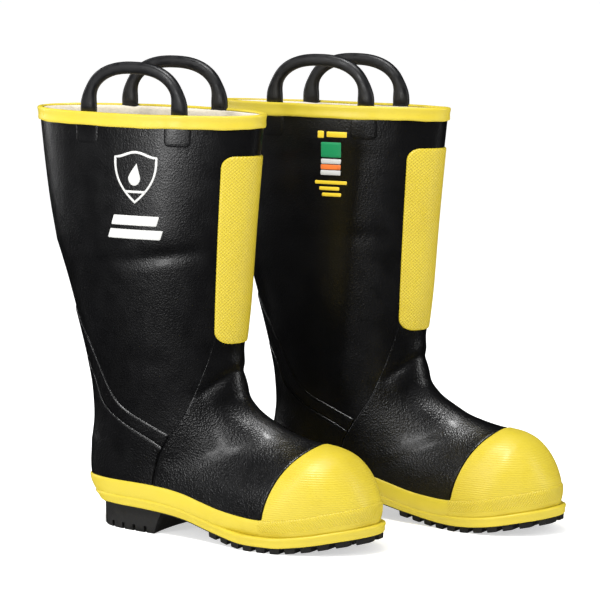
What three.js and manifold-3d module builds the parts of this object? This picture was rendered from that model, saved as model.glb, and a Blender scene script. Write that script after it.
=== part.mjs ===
// Pair of pull-on rubber fire boots with steel toes, millimetres, +Z up.
// Toes point towards -Y. The right boot stands on the -X side, the left boot on the +X side.
// Each boot is drawn in its own frame: x to the outer side, y backwards, z up from the ground,
// with the back of the sole at y = 0, so "reach" below is the distance forward of that point.
import * as THREE from 'three';
import { mergeVertices } from 'three/addons/utils/BufferGeometryUtils.js';
import Module from 'manifold-3d';

const wasm = await Module();
wasm.setup();

// ---------------------------------------------------------------- driving dimensions
const RIM_HEIGHT = 410;          // ground to the top edge of the rubber leg
const ANKLE_HEIGHT = 150;        // ground to the narrowest part of the leg
const SOLE_LENGTH = 314;         // heel to toe of the welt
const WIDTH_SCALE = 1;           // widens or narrows the last and the sole together
const WALL = 2.2;                // rubber leg
const GAP = 0.3;                 // clearance between pieces that touch
const OVERLAY = 1.6;             // vamp, counter and ankle strip
const GUARD = 2.0;               // shin guard
const CAP_COVER = 2.2;           // yellow cover over the steel toe
const FOXING = 2.8;              // band round the upper, above the welt
const BUMPER = 3.2;              // thicker strip round the toe
const WELT_HEIGHT = 9;           // projecting ridge at the foot of the foxing
const FOXING_HEIGHT = 25;        // welt and foxing together
const BUMPER_HEIGHT = 29;        // welt and toe strip together
const BUMPER_LENGTH = 100;       // toe strip, measured back from the toe
const FELT = 3.6;                // liner
const LINER_CLEAR = 1.5;         // liner to the inside of the leg
const TREAD = 6;                 // lugs under the forefoot
const SHEET = 1.6;               // rubber between the lugs
const CORE = 4.6;                // outsole core inside the welt
const CORE_INSET = 6;            // welt width in plan
const HEEL_LENGTH = 86;
const HEEL_NOTCH = 3.2;
const LUG_PITCH = 15;
const LUG_GAP = 4.2;
const LUG_LENGTH = 162;          // lugged part of the sole, measured back from the toe
const CENTRE_GROOVE = 7;
const STEEL = 1.8;               // toe cap
const CAP_LENGTH = 74;           // steel toe, measured back from the toe of the sole
const GASKET = 3;
const MIDSOLE = 1.2;
const MIDSOLE_INSET = 9;
const SHANK_WIDTH = 26;
const SHANK_HEIGHT = 2;
const SHANK_LENGTH = 80;
const FILLER = 2.8;
const BOARD = 2;
const FOOTBED = 5;
const BAND_HEIGHT = 12.5;        // yellow binding at the rim
const BAND = 2;
const RIM_ROLL = 0.035;          // the rim falls this much, per mm, towards the outer side
const HANDLE_SPAN = 104;         // between the feet of one pull handle
const HANDLE_RISE = 43;          // rim to the middle of the grip
const HANDLE_FORWARD = 5;        // handles sit this far in front of the rim's middle
const HANDLE_WIDTH = 13;
const HANDLE_THICK = 9;
const HANDLE_FOOT = 18;          // width of the flared foot
const TAB_WIDTH = 27;
const TAB_DEPTH = 20;            // moulded anchor tab below the rim
const TAB = 2.2;
const BOOT_SPACING = 168;        // centre to centre
const LEFT_AHEAD = 109;          // the left boot stands this far in front of the right

// ---------------------------------------------------------------- the last
const rise = RIM_HEIGHT - ANKLE_HEIGHT;
const L = SOLE_LENGTH;
const BUMPER_START = L - BUMPER_LENGTH;
const LUG_START = L - LUG_LENGTH;
const CAP_START = L - CAP_LENGTH;
const SHANK_FROM = HEEL_LENGTH - 2;
const SHANK_TO = SHANK_FROM + SHANK_LENGTH;

// The tables of reaches and heights below are drawn for this sole length and ankle height, and
// are stretched to the driving dimensions.
const DRAWN_LENGTH = 314;
const DRAWN_ANKLE = 150;
const ahead = (reach) => reach * L / DRAWN_LENGTH;
const high = (z) => z * ANKLE_HEIGHT / DRAWN_ANKLE;
const drawn = (points) => points.map(([reach, z]) => [ahead(reach), high(z)]);

// Underside of the welt above the ground, by reach: heel, arch, ball and toe spring. Every
// surface of the sole breaks at the same knots, so that faceted neighbours stay parallel.
const knots = [0, 0.1, 0.2, 0.3, 0.36, 0.42, 0.48, 0.54, 0.6, 0.66, 0.73, 0.82, 0.91, 1]
  .map((share) => share * L);
const smoothWelt = curve([
  [0, 25], [0.19 * L, 24.5], [0.3 * L, 22.8], [0.38 * L, 19.6], [0.45 * L, 14.8], [0.52 * L, 10.2],
  [0.59 * L, 7.3], [0.66 * L, TREAD], [0.73 * L, TREAD + 0.2], [0.82 * L, 9], [0.92 * L, 14.5], [L, 18.5],
]);

function weltLine(reach) {
  const at = Math.min(Math.max(reach, 0), L);
  let i = 0;
  while (i < knots.length - 2 && at > knots[i + 1]) i += 1;
  const share = (at - knots[i]) / (knots[i + 1] - knots[i]);
  return smoothWelt(knots[i]) * (1 - share) + smoothWelt(knots[i + 1]) * share;
}

function reachesBetween(from, to) {
  return [from, ...knots.filter((k) => k > from + 1 && k < to - 1), to];
}

// Plan of the welt: half widths to the outer and the inner side.
const outerHalf = rounded([
  [0, 0], [6, 18], [20, 31], [45, 38], [80, 42], [0.38 * L, 44.5], [0.51 * L, 51], [0.64 * L, 60.5],
  [0.715 * L, 60.5], [0.8 * L, 55], [0.875 * L, 46], [0.94 * L, 33], [0.975 * L, 21], [L, 0],
]);
const innerHalf = rounded([
  [0, 0], [6, 18], [20, 31], [45, 37], [80, 38], [0.38 * L, 35.5], [0.51 * L, 36], [0.64 * L, 44.5],
  [0.715 * L, 50], [0.8 * L, 50], [0.875 * L, 45], [0.94 * L, 34], [0.975 * L, 22], [L, 0],
]);

// Cross sections from the rim round the ankle to the toe. Each lies in the plane through its
// front and back points: [front reach, front height, back reach, back height, outer half width,
// inner half width, squareness of the front half, of the back half, where it is widest].
const floor = (reach) => weltLine(reach) + CORE + 2 * GAP;
// The last dips below the floor, and is cut flat at it.
const belly = (reach) => floor(reach) - 3;
const legRow = (front, back, share, backShare, outer, inner) => [ahead(front),
  ANKLE_HEIGHT + share * rise, ahead(back), ANKLE_HEIGHT + backShare * rise, outer, inner, 2, 2, 0.5];
const footRow = (front, frontHeight, back, outer, inner, nFront, nBack, widest) => [front * L,
  high(frontHeight), back * L, belly(back * L), outer, inner, nFront, nBack, widest];
const sections = [
  legRow(184, -73, 1, 1, 43, 43),
  legRow(177.5, -66, 0.79, 0.79, 45.5, 45.5),
  legRow(171, -56, 0.55, 0.55, 47.5, 47),
  legRow(166, -43, 0.32, 0.32, 46, 45),
  legRow(160, -27, 0.1, 0.09, 43.5, 43),
  [ahead(162), high(145), ahead(-15), high(130), 41, 40, 2, 2.1, 0.48],
  [ahead(175), high(126), ahead(-11), high(98), 39.5, 37, 2, 2.2, 0.46],
  [ahead(195), high(114), ahead(-11), high(66), 39, 36, 2, 2.4, 0.44],
  [ahead(211), high(106.5), ahead(-7), 44, 39, 36, 2, 2.8, 0.42],
  footRow(0.715, 102.5, 0.051, 40, 36, 2.05, 3.6, 0.4),
  footRow(0.745, 100, 0.19, 42, 36, 2.1, 4.5, 0.36),
  footRow(0.775, 98, 0.34, 46, 38, 2.1, 5, 0.32),
  footRow(0.805, 96.5, 0.5, 52, 43, 2.15, 5, 0.3),
  footRow(0.84, 94.5, 0.65, 55.5, 47.5, 2.2, 5, 0.3),
  footRow(0.878, 90, 0.77, 51, 47, 2.25, 5, 0.3),
  footRow(0.918, 80, 0.862, 41.5, 40.5, 2.3, 4, 0.32),
  footRow(0.953, 65, 0.925, 30, 30, 2.2, 3.5, 0.36),
  [0.975 * L, 49, 0.962 * L, floor(0.962 * L) + 2, 16, 16, 2.1, 2.6, 0.42],
  [0.981 * L, 37, 0.979 * L, floor(0.98 * L) + 6, 4, 4, 2, 2, 0.5],
];
const channel = (index) => curve(sections.map((row, at) => [at, row[index]]));
const last = sections[0].map((_, index) => channel(index));
const LAST_END = sections.length - 1;
const AROUND = 16;                               // steps round a section
const stationStep = [0, 1, 2, 3, 4, 5, 6, 7.2, 8.6, 10, 11.5, 13, 14.2, 15.2, 16, 16.8, 17.4,
  LAST_END];

// Smooth monotone curve through points, as a function of the first coordinate.
function curve(points) {
  const slope = points.map((_, i) => {
    if (i === 0 || i === points.length - 1) return 0;
    const before = rate(points, i - 1);
    const after = rate(points, i);
    return before * after <= 0 ? 0 : 2 * before * after / (before + after);
  });
  slope[0] = rate(points, 0);
  slope[points.length - 1] = rate(points, points.length - 2);
  return (x) => {
    let i = 0;
    while (i < points.length - 2 && x > points[i + 1][0]) i += 1;
    const [x0, y0] = points[i];
    const [x1, y1] = points[i + 1];
    const h = x1 - x0;
    const t = Math.min(Math.max((x - x0) / h, 0), 1);
    const a = 2 * t ** 3 - 3 * t ** 2 + 1;
    const b = t ** 3 - 2 * t ** 2 + t;
    const c = t ** 3 - t ** 2;
    return a * y0 + b * h * slope[i] + (1 - a) * y1 + c * h * slope[i + 1];
  };
}

function rate(points, i) {
  return (points[i + 1][1] - points[i][1]) / (points[i + 1][0] - points[i][0]);
}

// Half width whose two ends close as round noses.
function rounded(points) {
  const squared = curve(points.map(([x, y]) => [x, y * y]));
  return (x) => Math.sqrt(Math.max(squared(x), 0)) * WIDTH_SCALE;
}

// Point of the last at station s (0 rim, LAST_END toe) and angle a (0 front, 90 outer side).
function lastPoint(s, a) {
  const [fr, fz, br, bz, outer, inner, nFront, nBack, widest] = last.map((f) => f(s));
  const c = Math.cos(a);
  const n = c >= 0 ? nFront : nBack;
  const side = (Math.sin(a) >= 0 ? outer : inner) * WIDTH_SCALE;
  const forward = c >= 0 ? widest + (1 - widest) * c ** (2 / n) : widest - widest * (-c) ** (2 / n);
  const across = Math.sign(Math.sin(a)) * side * Math.abs(Math.sin(a)) ** (2 / n);
  const roll = -RIM_ROLL * across * Math.max(1 - s / 3, 0);
  return new THREE.Vector3(across, -(br + (fr - br) * forward), bz + (fz - bz) * forward + roll);
}

function lastNormal(s, a) {
  const ds = 0.05;
  const da = 0.03;
  const along = lastPoint(Math.min(s + ds, LAST_END), a).sub(lastPoint(Math.max(s - ds, 0), a));
  const around = lastPoint(s, a + da).sub(lastPoint(s, a - da));
  return along.cross(around).normalize();
}

// The last's surface moved out by `offset` (in when negative).
function skin(s, a, offset) {
  return lastPoint(s, a).addScaledVector(lastNormal(s, a), offset);
}

// ---------------------------------------------------------------- solids
// A closed body from triangles, turned so that its faces point out.
function body(points, triangles) {
  const geometry = new THREE.BufferGeometry();
  const numbers = points.flatMap((p) => [p.x, p.y, p.z]);
  geometry.setAttribute('position', new THREE.Float32BufferAttribute(numbers, 3));
  geometry.setIndex(triangles.flat());
  const swept = new THREE.Vector3();
  let volume = 0;
  for (const [a, b, c] of triangles) volume += points[a].dot(swept.crossVectors(points[b], points[c]));
  if (volume < 0) geometry.setIndex(triangles.flatMap(([a, b, c]) => [a, c, b]));
  return geometry;
}

// Surface of rings of points joined in order, closed at both ends by fans.
function loft(rings) {
  const points = rings.flat();
  const size = rings[0].length;
  const triangles = [];
  for (let r = 0; r < rings.length - 1; r += 1) {
    for (let i = 0; i < size; i += 1) {
      const j = (i + 1) % size;
      const [a, b, c, d] = [r * size + i, r * size + j, (r + 1) * size + j, (r + 1) * size + i];
      triangles.push([a, b, c], [a, c, d]);
    }
  }
  for (const [ring, flip] of [[0, true], [rings.length - 1, false]]) {
    const centre = points.length;
    const mean = rings[ring].reduce((sum, p) => sum.add(p), new THREE.Vector3()).divideScalar(size);
    points.push(mean);
    for (let i = 0; i < size; i += 1) {
      const [a, b] = [ring * size + i, ring * size + ((i + 1) % size)];
      triangles.push(flip ? [centre, b, a] : [centre, a, b]);
    }
  }
  return body(points, triangles);
}

// Rings joined in order and back to the first, as a closed tube.
function ringLoft(rings) {
  const points = rings.flat();
  const size = rings[0].length;
  const triangles = [];
  for (let r = 0; r < rings.length; r += 1) {
    const next = (r + 1) % rings.length;
    for (let i = 0; i < size; i += 1) {
      const j = (i + 1) % size;
      const [a, b, c, d] = [r * size + i, r * size + j, next * size + j, next * size + i];
      triangles.push([a, b, c], [a, c, d]);
    }
  }
  return body(points, triangles);
}

function solid(geometry) {
  const plain = geometry.clone();
  plain.deleteAttribute('normal');
  plain.deleteAttribute('uv');
  const merged = mergeVertices(plain, 1e-4);
  return new wasm.Manifold(new wasm.Mesh({
    numProp: 3,
    vertProperties: new Float32Array(merged.attributes.position.array),
    triVerts: new Uint32Array(merged.index.array),
  }));
}

function geometryOf(manifold) {
  const mesh = manifold.getMesh();
  const geometry = new THREE.BufferGeometry();
  geometry.setAttribute('position', new THREE.Float32BufferAttribute(mesh.vertProperties, 3));
  geometry.setIndex(Array.from(mesh.triVerts));
  return geometry;
}

function angles(count) {
  return Array.from({ length: count }, (_, i) => 2 * Math.PI * i / count);
}

// The whole last, offset, as one solid. `over` carries it above the rim with straight sides.
function lastSolid(offset, over = 0) {
  const turns = angles(AROUND);
  const rings = stationStep.map((s) => turns.map((a) => skin(s, a, offset)));
  if (over !== 0) rings.unshift(rings[0].map((p) => p.clone().setZ(p.z + over)));
  return solid(loft(rings)).subtract(underFloor(offset));
}

// What lies below the flat bottom of the last, lowered by `offset`.
function underFloor(offset) {
  const line = reachesBetween(-60, L + 60).map((reach) => [reach, floor(reach) - offset]);
  return sidePrism([...line, [L + 60, -40], [-60, -40]]);
}

// Prism across the boot over an outline given in side view as [reach, height] points.
function sidePrism(outline, from = -150, to = 150) {
  const shape = new THREE.Shape(outline.map(([reach, z]) => new THREE.Vector2(reach, z)));
  const block = new THREE.ExtrudeGeometry(shape, { depth: to - from, bevelEnabled: false });
  block.applyMatrix4(new THREE.Matrix4().set(
    0, 0, -1, to,
    -1, 0, 0, 0,
    0, 1, 0, 0,
    0, 0, 0, 1,
  ));
  return solid(block);
}

function box(x0, x1, y0, y1, z0, z1) {
  const block = new THREE.BoxGeometry(x1 - x0, y1 - y0, z1 - z0);
  block.translate((x0 + x1) / 2, (y0 + y1) / 2, (z0 + z1) / 2);
  return solid(block);
}

// Slab over the sole's plan, inset, between two heights that depend on the reach.
function planSlab(inset, low, high, fromReach = 0, toReach = L) {
  const start = Math.max(fromReach, inset);
  const end = Math.min(toReach, L - inset);
  const nose = (at, side) => [0, 1.5, 5, 12].map((step) => at + side * step);
  const between = knots.filter((k) => k > start + 14 && k < end - 14);
  const reaches = [...nose(start, 1), ...between, ...nose(end, -1)];
  reaches.sort((a, b) => a - b);
  const rings = reaches.map((reach) => {
    const grown = (reach - inset) * L / (L - 2 * inset);
    const half = (side) => Math.max(side(grown) - inset * Math.min(1, side(grown) / 30), 0.4);
    const [outer, inner] = [half(outerHalf), half(innerHalf)];
    return [[outer, low], [outer, high], [-inner, high], [-inner, low]]
      .map(([x, line]) => new THREE.Vector3(x, -reach, line(reach)));
  });
  return solid(loft(rings));
}

const above = (line, height) => (reach) => line(reach) + height;

// ---------------------------------------------------------------- seams in side view
const topOfFoxing = (reach) => weltLine(reach) + (reach < BUMPER_START ? FOXING_HEIGHT
  : FOXING_HEIGHT + (BUMPER_HEIGHT - FOXING_HEIGHT) * Math.min((reach - BUMPER_START) / 60, 1));
const vampSeam = drawn([[82, 40], [83, 55], [89, 80], [102, 99], [115, 118], [127, 143], [138, 170],
  [190, 182]]);
const capSeam = drawn([[216, 34], [221, 51], [230, 73], [242, 91], [252, 97], [258, 112]]);
const stripTop = drawn([[-60, 226], [-26, 208], [-3, 188], [11, 169], [25, 147], [33, 134],
  [46, 122], [70, 112], [101, 99]]);
const stripFoot = drawn([[-60, 172], [-14, 163], [5, 150], [11, 135], [19, 123], [29, 117],
  [50, 106], [82, 93], [94, 86]]);
const shinGuard = {
  top: RIM_HEIGHT - 38, foot: ANKLE_HEIGHT + 40, backTop: ahead(154), backFoot: ahead(145), corner: 12,
};

// Points along the top of the foxing, or of the welt, between two reaches.
const foxingLine = (from, to, lift) => reachesBetween(from, to)
  .map((reach) => [reach, topOfFoxing(reach) + lift]);
const weltTop = (from, to, lift) => reachesBetween(from, to)
  .map((reach) => [reach, weltLine(reach) + WELT_HEIGHT + lift]);

// ---------------------------------------------------------------- rubber upper
const shells = new Map();
function layer(from, to) {
  for (const offset of [from, to]) {
    if (!shells.has(offset)) shells.set(offset, lastSolid(offset));
  }
  return shells.get(to).subtract(lastSolid(from, 5));
}

function legShell() {
  return shells.get(0).subtract(lastSolid(-WALL, 5));
}

function overlay(thickness, outline) {
  return layer(GAP, GAP + thickness).intersect(sidePrism(outline));
}

function vamp() {
  const seam = vampSeam.slice(1).map(([reach, z]) => [reach + GAP, z]);
  const front = [...capSeam].reverse().slice(1).map(([reach, z]) => [reach - GAP, z]);
  const foot = foxingLine(vampSeam[0][0] + 2, BUMPER_START, GAP).reverse();
  return overlay(OVERLAY, [...seam, [ahead(250), high(182)], ...front, ...foot]);
}

function heelCounter() {
  const foot = foxingLine(-30, vampSeam[0][0], GAP);
  const seam = vampSeam.slice(1, 3).map(([reach, z]) => [reach - GAP, z]);
  const top = [...stripFoot].reverse().slice(1).map(([reach, z]) => [reach, z - GAP]);
  return overlay(OVERLAY, [...foot, ...seam, ...top]);
}

function ankleStrip() {
  const seam = vampSeam.slice(2, 4).map(([reach, z]) => [reach - GAP, z]);
  const top = [...stripTop].reverse().slice(1);
  return overlay(OVERLAY * 0.8, [...stripFoot.slice(0, -1), ...seam, ...top]);
}

function shinGuardPiece() {
  const { top, foot, backTop, backFoot, corner } = shinGuard;
  const outline = [[ahead(240), foot], [ahead(240), top]];
  for (let i = 0; i <= 3; i += 1) {
    const turn = Math.PI / 2 * i / 3;
    outline.push([backTop + corner - corner * Math.sin(turn), top - corner + corner * Math.cos(turn)]);
  }
  for (let i = 0; i <= 3; i += 1) {
    const turn = Math.PI / 2 * i / 3;
    outline.push([backFoot + corner - corner * Math.cos(turn), foot + corner - corner * Math.sin(turn)]);
  }
  return overlay(GUARD, outline);
}

function toeCapCover() {
  const foot = foxingLine(BUMPER_START + 1, L + 10, GAP);
  return overlay(CAP_COVER, [...foot, [L + 10, 130], ...[...capSeam].reverse()]);
}

function foxingBand() {
  const top = foxingLine(-30, BUMPER_START, 0).reverse();
  return overlay(FOXING, [...weltTop(-30, BUMPER_START, GAP), ...top]);
}

function toeBumperStrip() {
  const start = BUMPER_START + GAP;
  return overlay(BUMPER, [...weltTop(start, L + 10, GAP), ...foxingLine(start, L + 10, 0).reverse()]);
}

// ---------------------------------------------------------------- sole
function welt() {
  const ring = planSlab(0, weltLine, above(weltLine, WELT_HEIGHT));
  return ring.subtract(planSlab(CORE_INSET, above(weltLine, -5), above(weltLine, WELT_HEIGHT + 5)))
    .subtract(lastSolid(GAP));
}

function outsole() {
  const core = planSlab(CORE_INSET + GAP, above(weltLine, -GAP - SHEET / 2), above(weltLine, CORE));
  const sheet = planSlab(1.5, above(weltLine, -GAP - SHEET), above(weltLine, -GAP));
  let lugs = planSlab(2.3, above(weltLine, -TREAD), above(weltLine, -GAP - SHEET * 0.7), LUG_START);
  for (let at = LUG_START + LUG_PITCH - LUG_GAP; at < L - LUG_PITCH / 2; at += LUG_PITCH) {
    lugs = lugs.subtract(box(-90, 90, -at - LUG_GAP, -at, -20, 60));
  }
  const groove = box(-CENTRE_GROOVE / 2, CENTRE_GROOVE / 2, -L - 5, -LUG_START + 5, -20, 60);
  return core.add(sheet).add(lugs.subtract(groove));
}

function heelBlock() {
  const top = above(weltLine, -2 * GAP - SHEET);
  let block = planSlab(2.5, () => 0, top, 0, HEEL_LENGTH);
  for (let at = 12; at < HEEL_LENGTH - 8; at += 11) {
    block = block.subtract(box(-60, -18, -at - HEEL_NOTCH, -at, -1, HEEL_NOTCH))
      .subtract(box(18, 60, -at - HEEL_NOTCH, -at, -1, HEEL_NOTCH));
  }
  return block;
}

// ---------------------------------------------------------------- inside
// Layers between the rubber bottom and the foot, measured up from the inside of the bottom.
const bottomUp = {
  filler: WALL + GAP,
  midsole: WALL + GAP + FILLER + GAP,
  board: WALL + GAP + FILLER + GAP + MIDSOLE + GAP,
  footbed: WALL + GAP + FILLER + GAP + MIDSOLE + GAP + BOARD + GAP,
};

function insideLayer(start, thickness, inset, clear) {
  const slab = planSlab(inset, above(floor, start), above(floor, start + thickness), 6, L - 8);
  return slab.intersect(lastSolid(-clear));
}

const insideBoard = (start, thickness) => insideLayer(start, thickness, MIDSOLE_INSET, WALL + GAP);

function shank() {
  const line = reachesBetween(SHANK_FROM, SHANK_TO)
    .map((reach) => [reach, floor(reach) + bottomUp.filler + GAP]);
  const top = line.map(([reach, z]) => [reach, z + SHANK_HEIGHT]).reverse();
  return sidePrism([...line, ...top], -SHANK_WIDTH / 2, SHANK_WIDTH / 2);
}

function midsoleFiller() {
  const half = SHANK_WIDTH / 2 + GAP;
  const room = box(-half, half, -SHANK_TO - GAP, -SHANK_FROM + GAP, -10, 90);
  return insideBoard(bottomUp.filler, FILLER).subtract(room);
}

// Back edge of the steel toe in side view, from the top down.
const capEdge = [[CAP_START + 8, 130], [CAP_START, 100], [CAP_START - 6, 60]];

function steelToeCap() {
  const shell = lastSolid(-WALL - GAP).subtract(lastSolid(-WALL - GAP - STEEL));
  const lip = reachesBetween(CAP_START - 6, L + 5)
    .map((reach) => [reach, floor(reach) + bottomUp.footbed + 2 * GAP]);
  return shell.intersect(sidePrism([...capEdge, ...lip, [L + 5, 130]]));
}

function toeCapGasket() {
  const shell = lastSolid(-WALL - GAP).subtract(lastSolid(-WALL - GAP - STEEL));
  const lift = GAP * 1.5;
  const front = [...capEdge].reverse().map(([reach, z]) => [reach - lift, z]);
  const back = capEdge.map(([reach, z]) => [reach - lift - GASKET, z]);
  return shell.intersect(sidePrism([...front, ...back]));
}

// ---------------------------------------------------------------- liner
const felted = curve([[0, 1], [0.5, 1], [1, 0], [8.6, 0], [10, 1], [LAST_END, 1]]);
const tabRoom = TAB + 2 * GAP;

function linerDepth(s) {
  return WALL + LINER_CLEAR + felted(s) * (s > 7 ? STEEL + GAP : tabRoom + GAP);
}

function linerBag(extra, over) {
  const turns = angles(AROUND);
  const rings = stationStep.map((s) => turns.map((a) => skin(s, a, -linerDepth(s) - extra)));
  if (over !== 0) rings.unshift(rings[0].map((p) => p.clone().setZ(p.z + over)));
  return solid(loft(rings));
}

function feltLiner() {
  const cut = reachesBetween(-60, L + 60).map((reach) => [reach, floor(reach) + bottomUp.footbed + GAP]);
  return linerBag(0, 0).subtract(linerBag(FELT, 5))
    .subtract(sidePrism([...cut, [L + 60, -40], [-60, -40]]));
}

function footbed() {
  const low = above(floor, bottomUp.footbed + 2 * GAP);
  const slab = planSlab(7, low, above(floor, bottomUp.footbed + FOOTBED), 6, L - 20);
  return slab.intersect(linerBag(FELT + 2 * GAP, 0));
}

// ---------------------------------------------------------------- rim and handles
const rimAt = (across) => RIM_HEIGHT - RIM_ROLL * across;

// Point on the flat facets of the leg's wall, `depth` below the rim at angle a.
function wallPoint(depth, a, offset) {
  const step = 2 * Math.PI / AROUND;
  const column = Math.floor(a / step + 1e-9);
  const share = a / step - column;
  const ring = (s) => skin(s, column * step, offset).lerp(skin(s, (column + 1) * step, offset), share);
  const [top, below] = [ring(0), ring(1)];
  return top.lerp(below, depth / (top.z - below.z));
}

function topBinding() {
  const turns = angles(AROUND);
  const profile = [[GAP, -BAND_HEIGHT], [GAP + BAND, -BAND_HEIGHT], [GAP + BAND, GAP + 1.2],
    [-WALL, GAP + 1.2], [-WALL, GAP], [GAP, GAP]];
  return solid(ringLoft(turns.map((a) => profile.map(([out, up]) => wallPoint(-up, a, out)))));
}

const rimCentre = (last[0](0) + last[2](0)) / 2;
const rimHalfLength = (last[0](0) - last[2](0)) / 2;
const frontTurn = Math.acos((HANDLE_FORWARD + HANDLE_SPAN / 2) / rimHalfLength);
const rearTurn = Math.acos((HANDLE_FORWARD - HANDLE_SPAN / 2) / rimHalfLength);
const tabOffset = -WALL - GAP - TAB / 2;
const footOut = (turn) => Math.abs(skin(0, turn, tabOffset).x);
const hingeOut = (footOut(frontTurn) + footOut(rearTurn)) / 2;
const hingeAbove = 2 + HANDLE_THICK / 2;

function handleAnchor(side, front) {
  const rows = [];
  const centre = side * (front ? frontTurn : rearTurn);
  const half = TAB_WIDTH / 2 / lastPoint(0, centre).distanceTo(lastPoint(0, centre + 0.01)) * 0.01;
  for (const [z, share] of [[-TAB_DEPTH, 0.7], [-TAB_DEPTH + 5, 1], [-8, 1], [-3, 0.62], [1.4, 0.62]]) {
    const row = [];
    for (const out of [0, 1]) {
      for (let i = 0; i <= 4; i += 1) {
        const a = centre + half * share * (out ? 1 - i / 2 : i / 2 - 1);
        row.push(wallPoint(-z, a, -WALL - GAP - (out ? 0 : TAB)));
      }
    }
    rows.push(row);
  }
  return solid(loft(rows));
}

// The grip's arch, hinged at the feet: reach and height above the hinge at share t of the way.
function arch(t) {
  const turn = Math.PI * t;
  const squareness = 2 / 2.4;
  const across = Math.sign(Math.cos(turn)) * Math.abs(Math.cos(turn)) ** squareness;
  return [across * HANDLE_SPAN / 2, (HANDLE_RISE - HANDLE_THICK / 2) * Math.sin(turn) ** squareness];
}

function pullHandle(side) {
  const rings = [];
  const section = (reach, up, lean, width, thick) => {
    rings.push(angles(8).map((a) => {
      const flat = Math.sign(Math.cos(a)) * Math.abs(Math.cos(a)) ** 0.6 * thick / 2;
      const along = Math.sign(Math.sin(a)) * Math.abs(Math.sin(a)) ** 0.6 * width / 2;
      return new THREE.Vector3(flat, -(reach + along * Math.cos(lean)), up + along * Math.sin(lean));
    }));
  };
  const sole = [[-0.94, 0.34], [-0.64, 0.77]];
  const foot = (sign, share) => section(sign * HANDLE_SPAN / 2, share[0] * HANDLE_THICK / 2,
    sign > 0 ? 0 : Math.PI, HANDLE_FOOT, HANDLE_THICK * share[1]);
  foot(1, sole[0]);
  foot(1, sole[1]);
  const steps = 12;
  for (let i = 0; i <= steps; i += 1) {
    const t = i / steps;
    const [reach, up] = arch(t);
    const [r0, z0] = arch(Math.max(t - 0.01, 0));
    const [r1, z1] = arch(Math.min(t + 0.01, 1));
    const lean = Math.atan2(r0 - r1, z1 - z0);
    const flare = Math.max(1 - up / (HANDLE_RISE * 0.4), 0);
    section(reach, up, lean, HANDLE_WIDTH + (HANDLE_FOOT - HANDLE_WIDTH) * flare, HANDLE_THICK);
  }
  foot(-1, sole[1]);
  foot(-1, sole[0]);
  const handle = loft(rings);
  handle.translate(side * hingeOut, -rimCentre - HANDLE_FORWARD, rimAt(side * hingeOut) + hingeAbove);
  return handle;
}

// ---------------------------------------------------------------- materials and assembly
const finish = (color, roughness, metalness = 0) => new THREE.MeshStandardMaterial(
  { color, roughness, metalness },
);
const BLACK = finish(0x101012, 0.42);
const YELLOW = finish(0xdcc83a, 0.5);
const HANDLE = finish(0x3c3c40, 0.7);
const TREAD_BLACK = finish(0x2e2c29, 0.75);
const CREAM = finish(0xece4d4, 0.95);
const STEEL_GREY = finish(0x9a9ea2, 0.4, 0.9);
const CARD = finish(0xb09468, 0.9);

shells.set(0, lastSolid(0));
const pieces = {
  leg_shell: [geometryOf(legShell()), BLACK],
  vamp: [geometryOf(vamp()), BLACK],
  heel_counter: [geometryOf(heelCounter()), BLACK],
  ankle_strip: [geometryOf(ankleStrip()), BLACK],
  shin_guard: [geometryOf(shinGuardPiece()), YELLOW],
  toe_cap_cover: [geometryOf(toeCapCover()), YELLOW],
  foxing_band: [geometryOf(foxingBand()), YELLOW],
  toe_bumper_strip: [geometryOf(toeBumperStrip()), YELLOW],
  welt: [geometryOf(welt()), YELLOW],
  outsole: [geometryOf(outsole()), TREAD_BLACK],
  heel_block: [geometryOf(heelBlock()), TREAD_BLACK],
  top_binding: [geometryOf(topBinding()), YELLOW],
  felt_liner: [geometryOf(feltLiner()), CREAM],
  footbed: [geometryOf(footbed()), CREAM],
  insole_board: [geometryOf(insideBoard(bottomUp.board, BOARD)), CARD],
  steel_midsole_plate: [geometryOf(insideBoard(bottomUp.midsole, MIDSOLE)), STEEL_GREY],
  midsole_filler: [geometryOf(midsoleFiller()), CARD],
  steel_shank: [geometryOf(shank()), STEEL_GREY],
  steel_toe_cap: [geometryOf(steelToeCap()), STEEL_GREY],
  toe_cap_gasket: [geometryOf(toeCapGasket()), BLACK],
  handle_outer: [pullHandle(1), HANDLE],
  handle_inner: [pullHandle(-1), HANDLE],
};
for (const [name, side] of [['outer', 1], ['inner', -1]]) {
  pieces[`handle_anchor_${name}_front`] = [geometryOf(handleAnchor(side, true)), HANDLE];
  pieces[`handle_anchor_${name}_rear`] = [geometryOf(handleAnchor(side, false)), HANDLE];
}

function boot(prefix) {
  const group = new THREE.Group();
  for (const [name, [geometry, material]] of Object.entries(pieces)) {
    const mesh = new THREE.Mesh(geometry, material);
    mesh.name = `${prefix}_${name}`;
    group.add(mesh);
  }
  return group;
}

const rimBack = last[2](0) - GAP - BAND;
const right = boot('right');
right.scale.x = -1;
right.position.set(-BOOT_SPACING / 2, (L + LEFT_AHEAD + rimBack) / 2, 0);
const left = boot('left');
left.position.set(BOOT_SPACING / 2, (L + LEFT_AHEAD + rimBack) / 2 - LEFT_AHEAD, 0);

const pair = new THREE.Group();
pair.add(right, left);
export default pair;
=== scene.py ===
"""Pair of pull-on rubber fire boots: black rubber legs and vamps, yellow rim bindings, shin
guards, toe covers and foxing, felt linings, lugged soles and pull handles.

Shapes are worked out in millimetres in the frame of one boot: across (positive to the outer
side of the foot), -reach (reach is measured forward from the back of the sole) and height above
the ground. The two boots are mirror images, set down in the frame by build_piece.
"""

import math

import bpy
import numpy as np
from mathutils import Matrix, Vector
from mathutils.bvhtree import BVHTree
from mathutils.geometry import delaunay_2d_cdt


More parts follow.
